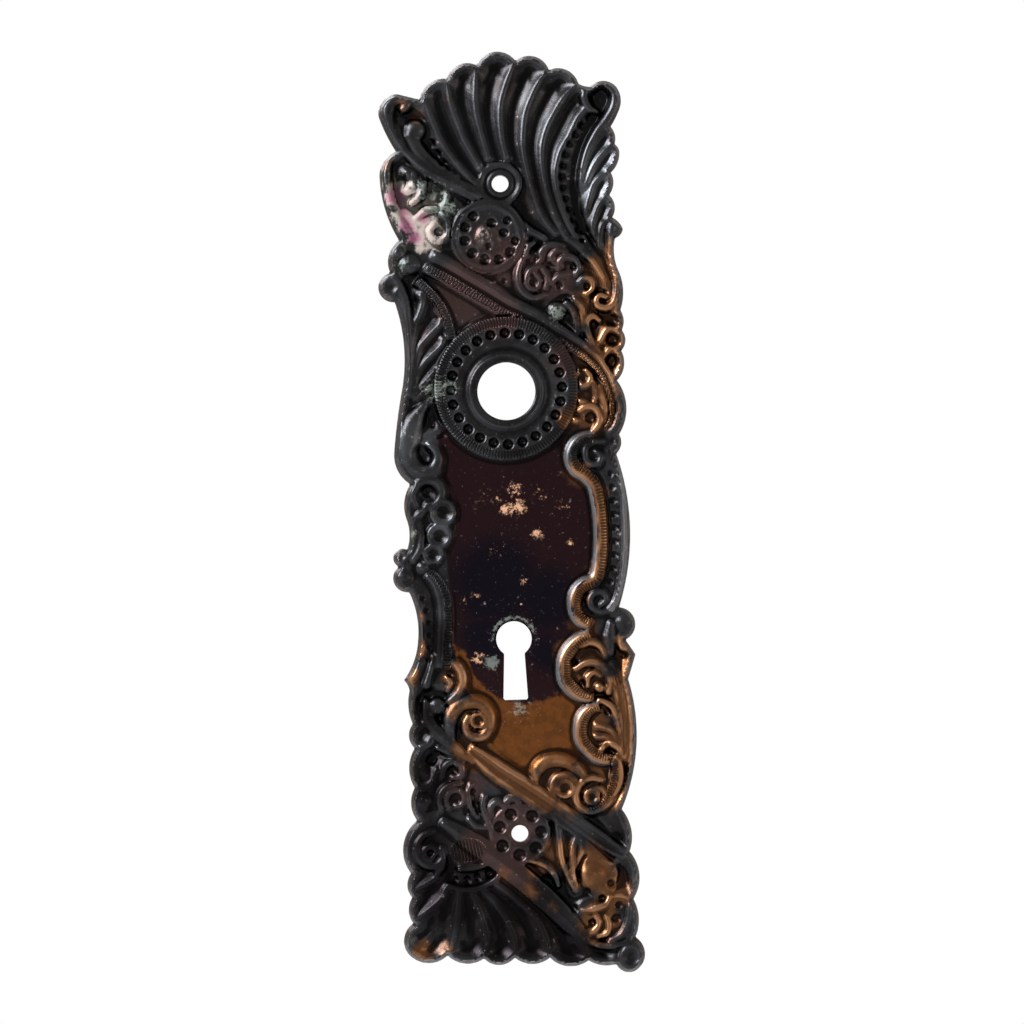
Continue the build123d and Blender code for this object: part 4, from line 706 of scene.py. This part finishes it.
# Scooped ornament: between two crests the surface sinks in a hollow curve as wide as the gap between them
nearest = np.maximum(in_plate - 1.0, 0)
other = np.full(PX.shape, 9.0)
for points in CRESTS:
    where, d, _, _ = near(smooth_line(points), 8)
    other[where] = np.minimum(other[where], np.maximum(nearest[where], d))
    nearest[where] = np.minimum(nearest[where], d)
gap = np.minimum((nearest + other) / 2, 3.6)
share_in = np.clip(nearest / gap, 0, 1)
deepest = np.interp(other, (4.8, 7.2), (1.9, 0.75))
rounded = (np.hypot(share_in, CREST_ROUND) - CREST_ROUND) / (math.hypot(1, CREST_ROUND) - CREST_ROUND)
height = GROUND + 0.3 - np.minimum(0.6 * gap, deepest) * (1 - (1 - rounded) ** 2)
hatch_mask = np.zeros(PX.shape)
hatch_turn = np.zeros(PX.shape)
pale_edge_highlight = np.zeros(PX.shape)
for depth in (field_depth, triangle_depth):
    floor = ease(depth, -0.35, 0.3)
    height = height * (1 - floor) + FIELD * floor
for centre, reach, drop in PADS:
    lifted = ease(reach - np.hypot(PX - centre[0], PZ - centre[1]), -1, 1.2) * ease(in_plate, 1.4, 2.2)
    height += np.maximum(GROUND - drop - height, 0) * lifted
for moulding in MOULDINGS:
    mould(*moulding)
for bar in BARS:
    raise_bar(*bar)
for pearl in PEARLS:
    swell(*pearl)
for cup in CUPS:
    press_cup(*cup)
for groove in GROOVES:
    cut_groove(*groove)
for pit in PITS:
    sink(*pit)
for points, count, widest, least in DIMPLE_ROWS:
    line = smooth_line(points, 20)
    run = np.concatenate([[0], np.cumsum(np.hypot(*(line[1:] - line[:-1]).T))])
    for share in np.arange(count) / (count - 1):
        spot = [np.interp(share * run[-1], run, line[:, k]) for k in (0, 1)]
        sink(spot, widest + (least - widest) * share, ROW_DIMPLE_DEPTH)

# Medallion, upper boss and lower flower
medal = np.hypot(PX - MEDALLION[0], PZ - MEDALLION[1])
ring = np.interp(
    medal, (0, 2.4, 3.2, 3.7, 7.2, 8.1, 8.7, 9.4, 10.1), (3.9, 3.8, 3.3, 3.1, 3.1, 3.8, 3.2, 3.75, 2.7),
)
height = np.where(medal < MEDALLION_RADIUS, ring, height)
for x, z, size in MEDALLION_DIMPLES:
    sink((x, z), size, MEDALLION_DIMPLE_DEPTH)
boss = np.interp(upper_radius, (2.2, 2.6, 3.1, 3.6, 4.2, 5.2), (3.1, 3.25, 3.2, 2.75, 2.85, 3.5))
height = np.where(upper_radius < BOSS_RADIUS, np.minimum(np.maximum(height, GROUND), boss), height)
flower = np.interp(lower_radius, (2.2, 2.8, 3.6, 7.4, 8.2), (3.1, 3.4, 3.6, 3.6, 3.0))
height = np.where(lower_radius < FLOWER_RADIUS, np.maximum(height, flower), height)

# Rosette, whose ring of dimples stands a little above the hole
ring_radius = np.hypot(PX, PZ - RING_RISE)
turned = np.interp(
    from_knob, (7.5, 7.7, 8.1, 8.5, 8.7, 9.1, 9.4, 9.7, 10.4, 11.4, 12.6),
    (4.1, 4.5, 4.6, 4.3, 4.3, 4.75, 4.75, 4.35, 3.75, 3.6, 3.85),
)
outer = np.interp(ring_radius, (12.6, 13.2, 15.9, 16.2, 18.4, 19.0), (3.9, 4.1, 4.15, 4.05, 3.95, 2.7))
on_rosette = ring_radius < ROSETTE_RADIUS
height = np.where(on_rosette, np.where(from_knob < COLLAR_RADIUS, turned, outer), height)
strip = ease(ring_radius, 16, 16.3) * (1 - ease(ring_radius, 18.2, 18.5))
hatch_mask = np.where(on_rosette, strip, hatch_mask)
around = np.abs(np.arctan2(PX, PZ - RING_RISE))
hatch_turn = np.where(on_rosette, around * HATCH_CIRCLE / HATCH_PITCH, hatch_turn)

# Hatched fan of the lower shell
fan = 1 - ease(np.hypot((PX + 13.6) / 4.8, (PZ + 118.6) / 3.2), 0.8, 1)
hatch_turn = np.where(fan > hatch_mask, (PX + 0.15 * PZ) / 0.85, hatch_turn)
hatch_mask = np.maximum(hatch_mask, fan)

# Soften, keep the floor of the hollows over the cavity, press the crisp dimples, let the rim fall away
height = smooth_max(blurred(height, SOFT_JOINT), THINNEST, SOFT_JOINT)
for index in range(ROSETTE_DIMPLES):
    angle = math.radians(90 + DIMPLE_TURN * index)
    spot = (DIMPLE_CIRCLE * math.cos(angle), RING_RISE + DIMPLE_CIRCLE * math.sin(angle))
    sink(spot, DIMPLE_RADIUS, DIMPLE_DEPTH)
for degrees in FLOWER_ANGLES:
    angle = math.radians(degrees)
    spot = (FLOWER_CIRCLE * math.cos(angle), LOWER_SCREW[1] + FLOWER_CIRCLE * math.sin(angle))
    sink(spot, FLOWER_DIMPLE_RADIUS, FLOWER_DIMPLE_DEPTH)
rim_fall = np.interp(in_plate, (0, 0.12, 0.9, 1.6), (1.3, 1.7, 2.9, 6))
height = smooth_min(height, rim_fall, 0.25)


# The plate's mesh
def sample(field, x, z):
    """A grid field read between its points, as the weighted mean of the four round each place."""
    fx, fz = (x - GRID_LOW[0]) / STEP, (z - GRID_LOW[1]) / STEP
    i = np.clip(fx.astype(int), 0, field.shape[1] - 2)
    j = np.clip(fz.astype(int), 0, field.shape[0] - 2)
    u, v = fx - i, fz - j
    low = field[j, i] * (1 - u) + field[j, i + 1] * u
    high = field[j + 1, i] * (1 - u) + field[j + 1, i + 1] * u
    return low * (1 - v) + high * v


def front_surface():
    """The relief as quads, with triangles at the edges, and its rim drawn onto the outline and the holes."""
    used = solid > -0.3 * STEP
    corners = np.stack([used[:-1, :-1], used[:-1, 1:], used[1:, 1:], used[1:, :-1]], axis=-1)
    full = corners.all(-1)
    number = np.arange(PX.size).reshape(PX.shape)
    cell = np.stack([number[:-1, :-1], number[:-1, 1:], number[1:, 1:], number[1:, :-1]], axis=-1)
    quads = cell[full]
    partial = corners.sum(-1) == 3
    triangles = cell[partial][corners[partial]].reshape(-1, 3)
    edges = np.vstack(
        [quads[:, [k, (k + 1) % 4]] for k in range(4)] + [triangles[:, [k, (k + 1) % 3]] for k in range(3)]
    )
    key = np.sort(edges, axis=1)
    unique, counts = np.unique(key, axis=0, return_counts=True)
    rim = unique[counts == 1]
    x, z = PX.ravel().copy(), PZ.ravel().copy()
    slope_z, slope_x = np.gradient(solid, STEP)
    on_rim = np.unique(rim)
    for _ in range(3):
        away = sample(solid, x[on_rim], z[on_rim])
        gx, gz = sample(slope_x, x[on_rim], z[on_rim]), sample(slope_z, x[on_rim], z[on_rim])
        size = np.maximum(gx * gx + gz * gz, 0.3)
        x[on_rim] -= away * gx / size
        z[on_rim] -= away * gz / size
    kept, places = np.unique(np.concatenate([quads.ravel(), triangles.ravel()]), return_inverse=True)
    quads = places[:quads.size].reshape(-1, 4)
    triangles = places[quads.size:].reshape(-1, 3)
    rim = np.searchsorted(kept, rim)
    return x[kept], z[kept], sample(height, x[kept], z[kept]), quads, triangles, rim


def chains(pairs):
    """Closed loops of vertex numbers from the unordered edges of a rim."""
    links = {}
    for a, b in pairs.tolist():
        links.setdefault(a, []).append(b)
        links.setdefault(b, []).append(a)
    loops = []
    while links:
        start = next(iter(links))
        loop, here = [start], links[start].pop()
        links[here].remove(start)
        while here != start:
            loop.append(here)
            there = links[here].pop()
            links[there].remove(here)
            here = there
        links = {vertex: ends for vertex, ends in links.items() if ends}
        loops.append(loop)
    return loops


def inner_line(distance):
    """The outline moved inwards, without the points that land nearer to the outline than that."""
    step = np.roll(outline, -1, axis=0) - np.roll(outline, 1, axis=0)
    step /= np.hypot(step[:, 0], step[:, 1])[:, None]
    moved = outline + distance * np.stack([step[:, 1], -step[:, 0]], axis=1)
    depth = sample(in_plate, moved[:, 0], moved[:, 1])
    kept = moved[depth > distance - 0.06][::2]
    return kept[np.hypot(*(kept - np.roll(kept, 1, axis=0)).T) > 0.25]


def filled(loops):
    """Triangles between closed loops, each given as its vertex numbers and its points: the triangles kept
    are those whose centre lies inside an odd count of loops."""
    numbers = np.concatenate([loop[0] for loop in loops])
    flat = np.vstack([loop[1] for loop in loops])
    edges = []
    for loop in loops:
        start, count = len(edges), len(loop[0])
        edges += [(start + k, start + (k + 1) % count) for k in range(count)]
    points = [Vector(place) for place in flat.tolist()]
    result = delaunay_2d_cdt(points, edges, [], 0, 1e-7)
    made = np.array([list(place) for place in result[0]])
    source = [origin[0] if origin else -1 for origin in result[3]]
    faces = np.array([face for face in result[2]])
    centre = made[faces].mean(axis=1)
    inside = np.zeros(len(faces), bool)
    for loop in loops:
        ring = loop[1]
        ends = np.roll(ring, -1, axis=0)
        for (ax, az), (bx, bz) in zip(ring, ends):
            if az != bz:
                cross = (centre[:, 1] > az) != (centre[:, 1] > bz)
                at = ax + (centre[:, 1] - az) / (bz - az) * (bx - ax)
                inside ^= cross & (centre[:, 0] < at)
    return numbers[np.array(source)[faces[inside]]]


front_x, front_z, front_h, quads, triangles, rim = front_surface()
loops = chains(rim)


def plate_mesh():
    """The closed plate: relief, walls at the outline and the holes, flat rim, and the sloping wall and the
    floor of the cavity behind."""
    x, z, y = [front_x], [front_z], [-front_h]
    faces = [quads.tolist(), triangles.tolist()]
    size = len(front_x)

    def add(new_x, new_z, level):
        nonlocal size
        x.append(new_x)
        z.append(new_z)
        y.append(np.full(len(new_x), level))
        size += len(new_x)
        return np.arange(size - len(new_x), size)

    ordered = sorted(loops, key=len, reverse=True)
    rings = []
    for index, loop in enumerate(ordered):
        loop = np.array(loop)
        below = add(front_x[loop], front_z[loop], 0.0 if index == 0 else -CAVITY_DEPTH)
        wall = np.stack([loop, np.roll(loop, -1), np.roll(below, -1), below], axis=1)
        faces.append(wall.tolist())
        rings.append((below, np.stack([front_x[loop], front_z[loop]], axis=1)))
    rounded_faces = sum(len(part) for part in faces)
    lip, floor = inner_line(CAVITY_MARGIN), inner_line(CAVITY_MARGIN + CAVITY_SLOPE)
    lip_ring = (add(lip[:, 0], lip[:, 1], 0.0), lip)
    floor_ring = (add(floor[:, 0], floor[:, 1], -CAVITY_DEPTH), floor)
    for group in ([rings[0], lip_ring], [lip_ring, floor_ring], [floor_ring] + rings[1:]):
        faces.append(filled(group).tolist())
    places = np.stack([np.concatenate(x), np.concatenate(y), np.concatenate(z)], axis=1) * 0.001
    mesh = bpy.data.meshes.new("plate_relief")
    mesh.from_pydata(places.tolist(), [], [face for part in faces for face in part])
    work = bmesh.new()
    work.from_mesh(mesh)
    bmesh.ops.recalc_face_normals(work, faces=work.faces)
    work.to_mesh(mesh)
    work.free()
    mesh.polygons.foreach_set("use_smooth", np.arange(len(mesh.polygons)) < rounded_faces)
    mesh.set_sharp_from_angle(angle=math.radians(SHARP_ANGLE))
    return mesh


mesh = plate_mesh()
plate = bpy.data.objects.new("bronze_plate", mesh)
bpy.context.scene.collection.objects.link(plate)
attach(plate, "root")
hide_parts("door_plate")


# Attributes that the finish reads
def soft_blob(spots):
    """A mask from round spots of (x, z, radius, strength): each is a bell, and the strongest wins."""
    mask = np.zeros(PX.shape)
    for cx, cz, size, strength in spots:
        d2 = (PX - cx) ** 2 + (PZ - cz) ** 2
        mask = np.maximum(mask, strength * np.exp(-d2 / (size * size)))
    return mask


def soft_line(points, size):
    """A mask that is 1 on a line and falls to both sides in a bell."""
    mask = np.zeros(PX.shape)
    where, d, _, _ = near(smooth_line(points), 3 * size)
    mask[where] = np.exp(-(d / size) ** 2)
    return mask


def give(name, field, elsewhere=0.0):
    """Stores a grid field on the plate's vertices; the back and the walls get one value."""
    values = np.full(len(mesh.vertices), elsewhere, np.float32)
    values[:len(front_x)] = sample(field, front_x, front_z)
    mesh.attributes.new(name, "FLOAT", "POINT").data.foreach_set("value", values)


standing = height - blurred(height, 0.9)
broadly = height - blurred(height, 2.2)
BRONZE_LINES = [
    ([(18.6, -21.6), (21.4, -23.6), (23, -27), (23.9, -33), (24, -40), (23.2, -46), (20.6, -49.8),
      (17.6, -53), (17, -57), (19, -60.6)], 1.5),
    ([(20, -64), (16.4, -66), (14, -69.5), (13.8, -74), (16, -78.2), (20.4, -80.6)], 2.2),
    ([(22, -82.6), (18.6, -85), (17.6, -89), (19.4, -93.6), (24, -96)], 2.2),
    ([(-14, -92), (-6, -98), (0, -102), (5, -105.4)], 3.2),
    ([(20, 8), (24, 3.6), (26, -1), (25.6, -6), (23, -10)], 2.4),
    ([(27.6, -66), (28.6, -74), (28.6, -84), (28, -94), (26, -103)], 2.0),
]
bronze = soft_blob([
    (29, 36, 4, 0.8), (26, 30, 6, 1), (24, 21, 7, 1), (27, 12, 6, 1), (25, 4, 8, 1), (22, -6, 7, 1),
    (18, -22, 4, 0.9), (23.5, -27, 2.6, 0.9), (24, -34, 2.6, 0.9), (24, -41, 2.6, 0.9), (22, -47, 3.4, 0.9),
    (17, -54, 3.4, 0.8), (18, -61, 4, 1), (14, -68, 4.6, 1), (20, -68, 5, 0.9), (18, -76, 6, 1),
    (25, -80, 6, 1), (19, -86, 6, 1), (25, -92, 6, 1), (20, -98, 6, 1), (24, -105, 5, 1), (10, -97, 6, 0.9),
    (14, -105, 6, 1), (-25, -58, 2.4, 0.7), (-25.5, -66, 3.2, 0.85), (-27, -73, 3, 0.8),
    (-15, -74, 5, 0.85), (-10, -84, 6.5, 0.9), (-16, -82, 4, 0.6), (-8, -92, 5, 0.9), (0, -99, 6, 0.9),
    (7, -105, 5, 0.9), (-24, 75, 3.6, 0.5), (-21, 72, 3, 0.6), (10, -120, 5, 0.9), (18, -124, 7, 1),
    (24, -130, 6, 0.9), (20, -138, 6, 1), (4, -124, 4, 0.7), (-26, -144.5, 4, 0.75),
    (-20, -143.5, 3.4, 0.55), (2, -129.5, 4, 0.62), (-4, -125, 3.4, 0.55), (8, -134, 3, 0.5),
    (16, -8, 4, 0.8), (-14, 76, 4, 0.4), (-5, 83, 3, 0.3), (-30, 60, 3, 0.5), (-4, -97, 6, 1),
    (4, -103, 5, 1), (-11, -95, 4, 0.9), (12, -110, 4, 0.5),
])
for points, size in BRONZE_LINES:
    bronze = np.maximum(bronze, soft_line(points, size))
# Painted shadow in the rosette's dimples: a mask round each dimple, darkened together with the hollows below
turns_off = np.abs((np.degrees(np.arctan2(PX, PZ - RING_RISE)) / DIMPLE_TURN + 0.5) % 1 - 0.5)
dimple_share = turns_off * DIMPLE_CIRCLE * math.radians(DIMPLE_TURN)
dimple_shade = 1 - ease(np.hypot(dimple_share, ring_radius - DIMPLE_CIRCLE), 0.5, 1.6)
give("back", np.zeros(PX.shape), 0.6)
# Painted shade: the hollows and the dimples are darkened towards black
narrow_hollow, broad_hollow = np.clip(-standing / 0.3, 0, 1), np.clip(-broadly / 0.7, 0, 1)
give("hollow_shade", narrow_hollow * 0.8 + broad_hollow * 0.48 + dimple_shade)
# Painted highlight: the parts that stand above their surroundings get a lighter cool grey
give("painted_crest_highlight", np.clip(standing / 0.45, 0, 1))
give("rim", 1 - ease(in_plate, 0.15, 1.1))
# Pale strips on the frames: partly worn metal, partly a painted highlight
give("edge", pale_edge_highlight)
give("hatch", hatch_mask)
give("turn", hatch_turn)
on_field = ease(field_depth, -1.1, -0.2) * (ring_radius > ROSETTE_RADIUS)
give("field", on_field)
give("blue", soft_blob([
    (-4, -50, 15, 1), (9, -54, 12, 0.9), (-7, -64, 9, 0.9), (9, -68, 8, 0.8), (-20, -110, 10, 0.4),
]))
ragged = np.interp(
    PX, (-14, -12, -10, -7.5, -5, -3, 3, 7, 10, 17), (-66, -69, -74, -77, -79, -80.4, -81.2, -80, -78.6, -77),
)
ochre = (1 - ease(PZ - ragged, -2.6, 2.6)) * on_field
give("ochre", ochre)
give("scorch", 0.5 * ochre)
give("bronze", bronze)
give("worn", bronze * np.clip(standing / 0.3, 0, 1))
give("plum", soft_blob([
    (-8, 26, 12, 1), (2, 33, 9, 0.9), (-2, 20, 8, 0.9), (12, 30, 9, 0.9), (16, 8, 7, 0.8), (8, 50, 8, 0.4),
    (-4, 40, 7, 0.7), (-10, -118, 8, 0.9), (-14, -102, 8, 0.8), (-2, -112, 9, 0.9), (-2, -124, 8, 0.9),
    (2, -138, 9, 0.6), (-20, 14, 6, 0.5),
]))
give("shade", soft_blob([
    (-18, -130, 14, 0.9), (0, -138, 14, 0.9), (-8, -142, 9, 0.9), (8, -142, 8, 0.8), (-24, -116, 8, 0.8),
    (-24, -100, 10, 0.9), (14, -146, 9, 0.8), (-22, -64, 9, 0.8), (-25, -84, 7, 0.8),
]))
give("sheen", soft_blob([
    (26, 56, 9, 0.9), (-23.4, -12, 7, 0.9), (-19, -34, 5, 0.7), (-20, -57, 4, 0.5), (28, 74, 5, 0.5),
]))
give("paint", soft_blob([
    (-26.4, 51.6, 4.6, 1.1), (-23, 46.4, 5.2, 1.15), (-18.8, 42, 4.4, 1), (-21, 38.6, 2.6, 0.8),
    (-27, 57, 2.6, 0.5), (-17, 38.4, 2.4, 0.7), (-19.4, 49, 3.4, 0.8),
]))
give("pink", soft_blob([
    (-27.4, 51.4, 2.8, 1), (-24.4, 43.5, 2.4, 1), (-20, 45.6, 2.2, 0.8), (-22.5, 40.5, 2, 0.9),
    (-25, 47.6, 2, 0.7),
]))
give("verdigris", soft_blob([
    (-17, 49.5, 4, 1), (-19, 53, 3, 0.8), (-13.6, 47.6, 2.4, 0.7), (-18.5, 1, 3.4, 0.8),
    (-14.6, 1.4, 2, 0.9), (13.8, 19.6, 2.4, 0.8), (-26, 33.6, 2.4, 0.5), (-6, -70.3, 1.9, 1),
    (1, -82, 2.6, 0.6), (28, 3, 3, 0.4), (-25.6, -36.3, 1.2, 0.9), (-4.4, 40.6, 2.2, 0.5),
]) + np.clip(0.75 - np.abs(key_depth + 1) / 1.4, 0, 1) * ease(PZ, -70, -60))
worn_through = soft_blob([
    (-0.8, -30.5, 2.7, 1.1), (2.6, -30, 2.7, 1.1), (1.4, -25.4, 3.2, 0.85), (-3, -27.6, 3, 0.7),
    (7, -37.3, 2.4, 1.02), (15.3, -39.6, 1.5, 0.95), (-10, -52.6, 2.2, 0.75), (-12.6, -54, 1.8, 0.7),
    (3, -49.2, 2, 0.8), (2, -55.3, 0.7, 1), (8, -27, 4, 0.62), (-7, -28, 4, 0.6), (-4, -41.4, 3, 0.68),
    (0, -38, 12, 0.46), (14, -30, 4, 0.6), (-9.5, -69, 3, 0.85), (10, -44, 5, 0.5), (4, -60, 5, 0.5),
])
give("flecks", (1.15 * worn_through - 0.52) * on_field - (1 - on_field))


# Finish
def tint(code):
    """An sRGB hex colour turned to the linear values that the shader takes."""
    parts = [int(code[i:i + 2], 16) / 255 for i in (1, 3, 5)]
    return tuple(c / 12.92 if c <= 0.04045 else ((c + 0.055) / 1.055) ** 2.4 for c in parts) + (1.0,)


def node(tree, kind, links=(), **settings):
    """Adds a shader node: settings are its own fields, or input values by their number or name in links."""
    made = tree.nodes.new(kind)
    for name, value in settings.items():
        setattr(made, name, value)
    for socket, value in dict(links).items():
        target = made.inputs[socket]
        if isinstance(value, bpy.types.NodeSocket):
            tree.links.new(value, target)
        else:
            target.default_value = value
    return made


# Mottlings of the patina: name, size in millimetres and roughness
GRAINS = (("broad", 12, 0.6), ("middle", 3, 0.65), ("fine", 0.8, 0.6), ("specks", 1.3, 0.8))
LAYERS = [
    # attribute, its colour, which mottling breaks its edge and by how much, full strength, metal share
    ("sheen", "#3c3d3f", "broad", 0.6, 0.8, 1.0),
    ("plum", "#3c2c29", "middle", 0.6, 0.75, 1.0),
    # painted highlight: lighter cool grey on the raised parts
    ("painted_crest_highlight", "#3e3f41", "middle", 0.8, 0.3, 1.0),
    ("shade", "#120f10", "broad", 0.5, 0.9, 1.0),
    ("field", "#211315", "broad", 0.1, 0.95, 1.0),
    ("blue", "#0f0e15", "broad", 0.5, 0.85, 1.0),
    ("bronze", "#503420", "middle", 0.9, 0.95, 1.0),
    ("ochre", "#5e3617", "middle", 1.8, 0.95, 0.95),
    ("scorch", "#40260f", "middle", 2.0, 0.6, 0.95),
    ("worn", "#7f5c42", "middle", 0.8, 0.85, 1.0),
    ("rim", "#5e4332", "middle", 1.6, 0.45, 1.0),
    # edge: pale strip on the frames' slopes, partly worn metal and partly a painted highlight
    ("edge", "#6c6a6a", "fine", 0.9, 0.55, 0.8),
    ("paint", "#a3958a", "middle", 2.1, 0.76, 0.0),
    ("pink", "#854560", "middle", 1.6, 0.75, 0.0),
    ("verdigris", "#737b71", "fine", 2.4, 0.45, 0.0),
    # painted shade: near-black in the hollows and the dimples
    ("hollow_shade", "#080707", "fine", 0.4, 0.82, 1.0),
    ("flecks", "#bd9070", "specks", 3.2, 0.95, 0.6),
    ("back", "#5c4733", "broad", 1.6, 0.9, 1.0),
]


def patinated_bronze():
    """Cast bronze under a black-brown patina: a painted highlight of cool sheen on the crests, brown metal
    where hands wore it, painted shade in the hollows, and crusts of old paint and verdigris."""
    material = bpy.data.materials.new("patinated_bronze")
    material.use_nodes = True
    tree = material.node_tree
    tree.nodes.clear()
    where = node(tree, "ShaderNodeTexCoord").outputs["Object"]
    grains = {}
    for name, size_mm, rough in GRAINS:
        grain = node(tree, "ShaderNodeTexNoise", {
            "Vector": where, "Scale": 1000 / size_mm, "Detail": 5, "Roughness": rough,
        })
        grains[name] = grain.outputs["Fac"]
    base = node(tree, "ShaderNodeMapRange", {"Value": grains["broad"], "From Min": 0.35, "From Max": 0.65})
    colour = node(
        tree, "ShaderNodeMix", {0: base.outputs[0], 6: tint("#191717"), 7: tint("#2b2b2c")}, data_type="RGBA",
    ).outputs[2]
    metal = 1.0
    for name, code, grain, broken, strength, metal_share in LAYERS:
        mask = node(tree, "ShaderNodeAttribute", attribute_name=name).outputs["Fac"]
        centred = node(tree, "ShaderNodeMath", {0: grains[grain], 1: 0.5}, operation="SUBTRACT")
        edge = node(
            tree, "ShaderNodeMath", {0: centred.outputs[0], 1: broken, 2: mask}, operation="MULTIPLY_ADD",
        )
        share = node(tree, "ShaderNodeMapRange", {
            "Value": edge.outputs[0], "From Min": 0.3, "From Max": 0.75, "To Max": strength,
        }, interpolation_type="SMOOTHSTEP").outputs[0]
        mix = node(tree, "ShaderNodeMix", {0: share, 6: colour, 7: tint(code)}, data_type="RGBA")
        colour = mix.outputs[2]
        metal = node(tree, "ShaderNodeMix", {0: share, 2: metal, 3: metal_share}).outputs[0]
    turn = node(tree, "ShaderNodeAttribute", attribute_name="turn").outputs["Fac"]
    hatch = node(tree, "ShaderNodeAttribute", attribute_name="hatch").outputs["Fac"]
    phase = node(tree, "ShaderNodeMath", {0: turn, 1: math.tau}, operation="MULTIPLY")
    wave = node(tree, "ShaderNodeMath", {0: phase.outputs[0]}, operation="SINE")
    raised = node(tree, "ShaderNodeMapRange", {"Value": wave.outputs[0], "From Min": -0.5, "From Max": 0.9})
    cuts = node(tree, "ShaderNodeMath", {0: raised.outputs[0], 1: hatch}, operation="MULTIPLY")
    deep = node(tree, "ShaderNodeMath", {0: cuts.outputs[0], 1: 0.55}, operation="MULTIPLY")
    colour = node(
        tree, "ShaderNodeMix", {0: deep.outputs[0], 6: colour, 7: tint("#0a0807")}, data_type="RGBA",
    ).outputs[2]
    chased = node(
        tree, "ShaderNodeBump", {"Strength": 0.9, "Distance": 0.0003, "Height": cuts.outputs[0]}, invert=True,
    )
    skin = node(
        tree, "ShaderNodeMath", {0: grains["middle"], 1: 2.0, 2: grains["fine"]}, operation="MULTIPLY_ADD",
    )
    pitted = node(tree, "ShaderNodeBump", {
        "Strength": 0.3, "Distance": 0.00012, "Height": skin.outputs[0], "Normal": chased.outputs[0],
    })
    roughness = node(tree, "ShaderNodeMapRange", {
        "Value": metal, "From Min": 1.0, "From Max": 0.0, "To Min": 0.3, "To Max": 0.8,
    })
    shader = node(tree, "ShaderNodeBsdfPrincipled", {
        "Base Color": colour, "Metallic": metal, "Roughness": roughness.outputs[0],
        "Normal": pitted.outputs[0],
    })
    output = node(tree, "ShaderNodeOutputMaterial")
    tree.links.new(shader.outputs[0], output.inputs[0])
    return material


mesh.materials.append(patinated_bronze())


# Floor, surroundings, lamps and camera
def pale_floor():
    """A flat sheet of matt white paper below the plate, two metres wide."""
    sheet = bpy.data.meshes.new("floor")
    corners = [(x, y, FLOOR_LEVEL) for x, y in ((-1, -1), (1, -1), (1, 0.24), (-1, 0.24))]
    sheet.from_pydata(corners, [], [(0, 1, 2, 3)])
    floor = bpy.data.objects.new("floor", sheet)
    bpy.context.scene.collection.objects.link(floor)
    material = bpy.data.materials.new("white_paper")
    material.use_nodes = True
    shader = material.node_tree.nodes["Principled BSDF"]
    shader.inputs["Base Color"].default_value = tint("#ececea")
    shader.inputs["Roughness"].default_value = 0.9
    sheet.materials.append(material)


def pale_world():
    """White where the eye or a reflection sees it, and a dim even grey for the light that it sheds."""
    world = bpy.data.worlds.new("pale_room")
    bpy.context.scene.world = world
    world.use_nodes = True
    tree = world.node_tree
    tree.nodes.clear()
    path = node(tree, "ShaderNodeLightPath")
    seen = path.outputs["Is Camera Ray"]
    for ray in ("Is Transmission Ray", "Is Glossy Ray"):
        seen = node(tree, "ShaderNodeMath", {0: seen, 1: path.outputs[ray]}, operation="MAXIMUM").outputs[0]
    room = node(tree, "ShaderNodeBackground", {"Color": tint("#c8ccd2"), "Strength": 0.35})
    white = node(tree, "ShaderNodeBackground", {"Color": (1, 1, 1, 1), "Strength": 1.0})
    either = node(tree, "ShaderNodeMixShader", {0: seen, 1: room.outputs[0], 2: white.outputs[0]})
    output = node(tree, "ShaderNodeOutputWorld")
    tree.links.new(either.outputs[0], output.inputs[0])


def soft_lamp(name, place, size, power, colour):
    """A square soft lamp that faces the middle of the plate."""
    light = bpy.data.lights.new(name, "AREA")
    light.size = size
    light.energy = power
    light.color = tint(colour)[:3]
    lamp = bpy.data.objects.new(name, light)
    bpy.context.scene.collection.objects.link(lamp)
    lamp.location = place
    aim = Vector((0, 0, -0.03)) - Vector(place)
    lamp.rotation_euler = aim.to_track_quat("-Z", "Y").to_euler()


pale_floor()
pale_world()
soft_lamp("window", (-0.95, -0.6, 0.6), 0.6, 46, "#f6f8ff")
soft_lamp("bounce", (0.9, -0.7, -0.2), 0.6, 4, "#fff4e8")
soft_lamp("behind", (-0.6, 0.9, 0.7), 0.8, 12, "#f4f6fa")

scene = bpy.context.scene
scene.view_settings.view_transform = "Standard"
lens = bpy.data.cameras.new("front")
lens.sensor_width = 36
lens.lens = 36 * CAMERA_DISTANCE / VIEW_WIDTH
camera = bpy.data.objects.new("front", lens)
scene.collection.objects.link(camera)
camera.location = (0.0005, -CAMERA_DISTANCE, CAMERA_HEIGHT)
camera.rotation_euler = Euler((math.radians(90), math.radians(PLATE_ROLL), 0))
scene.camera = camera
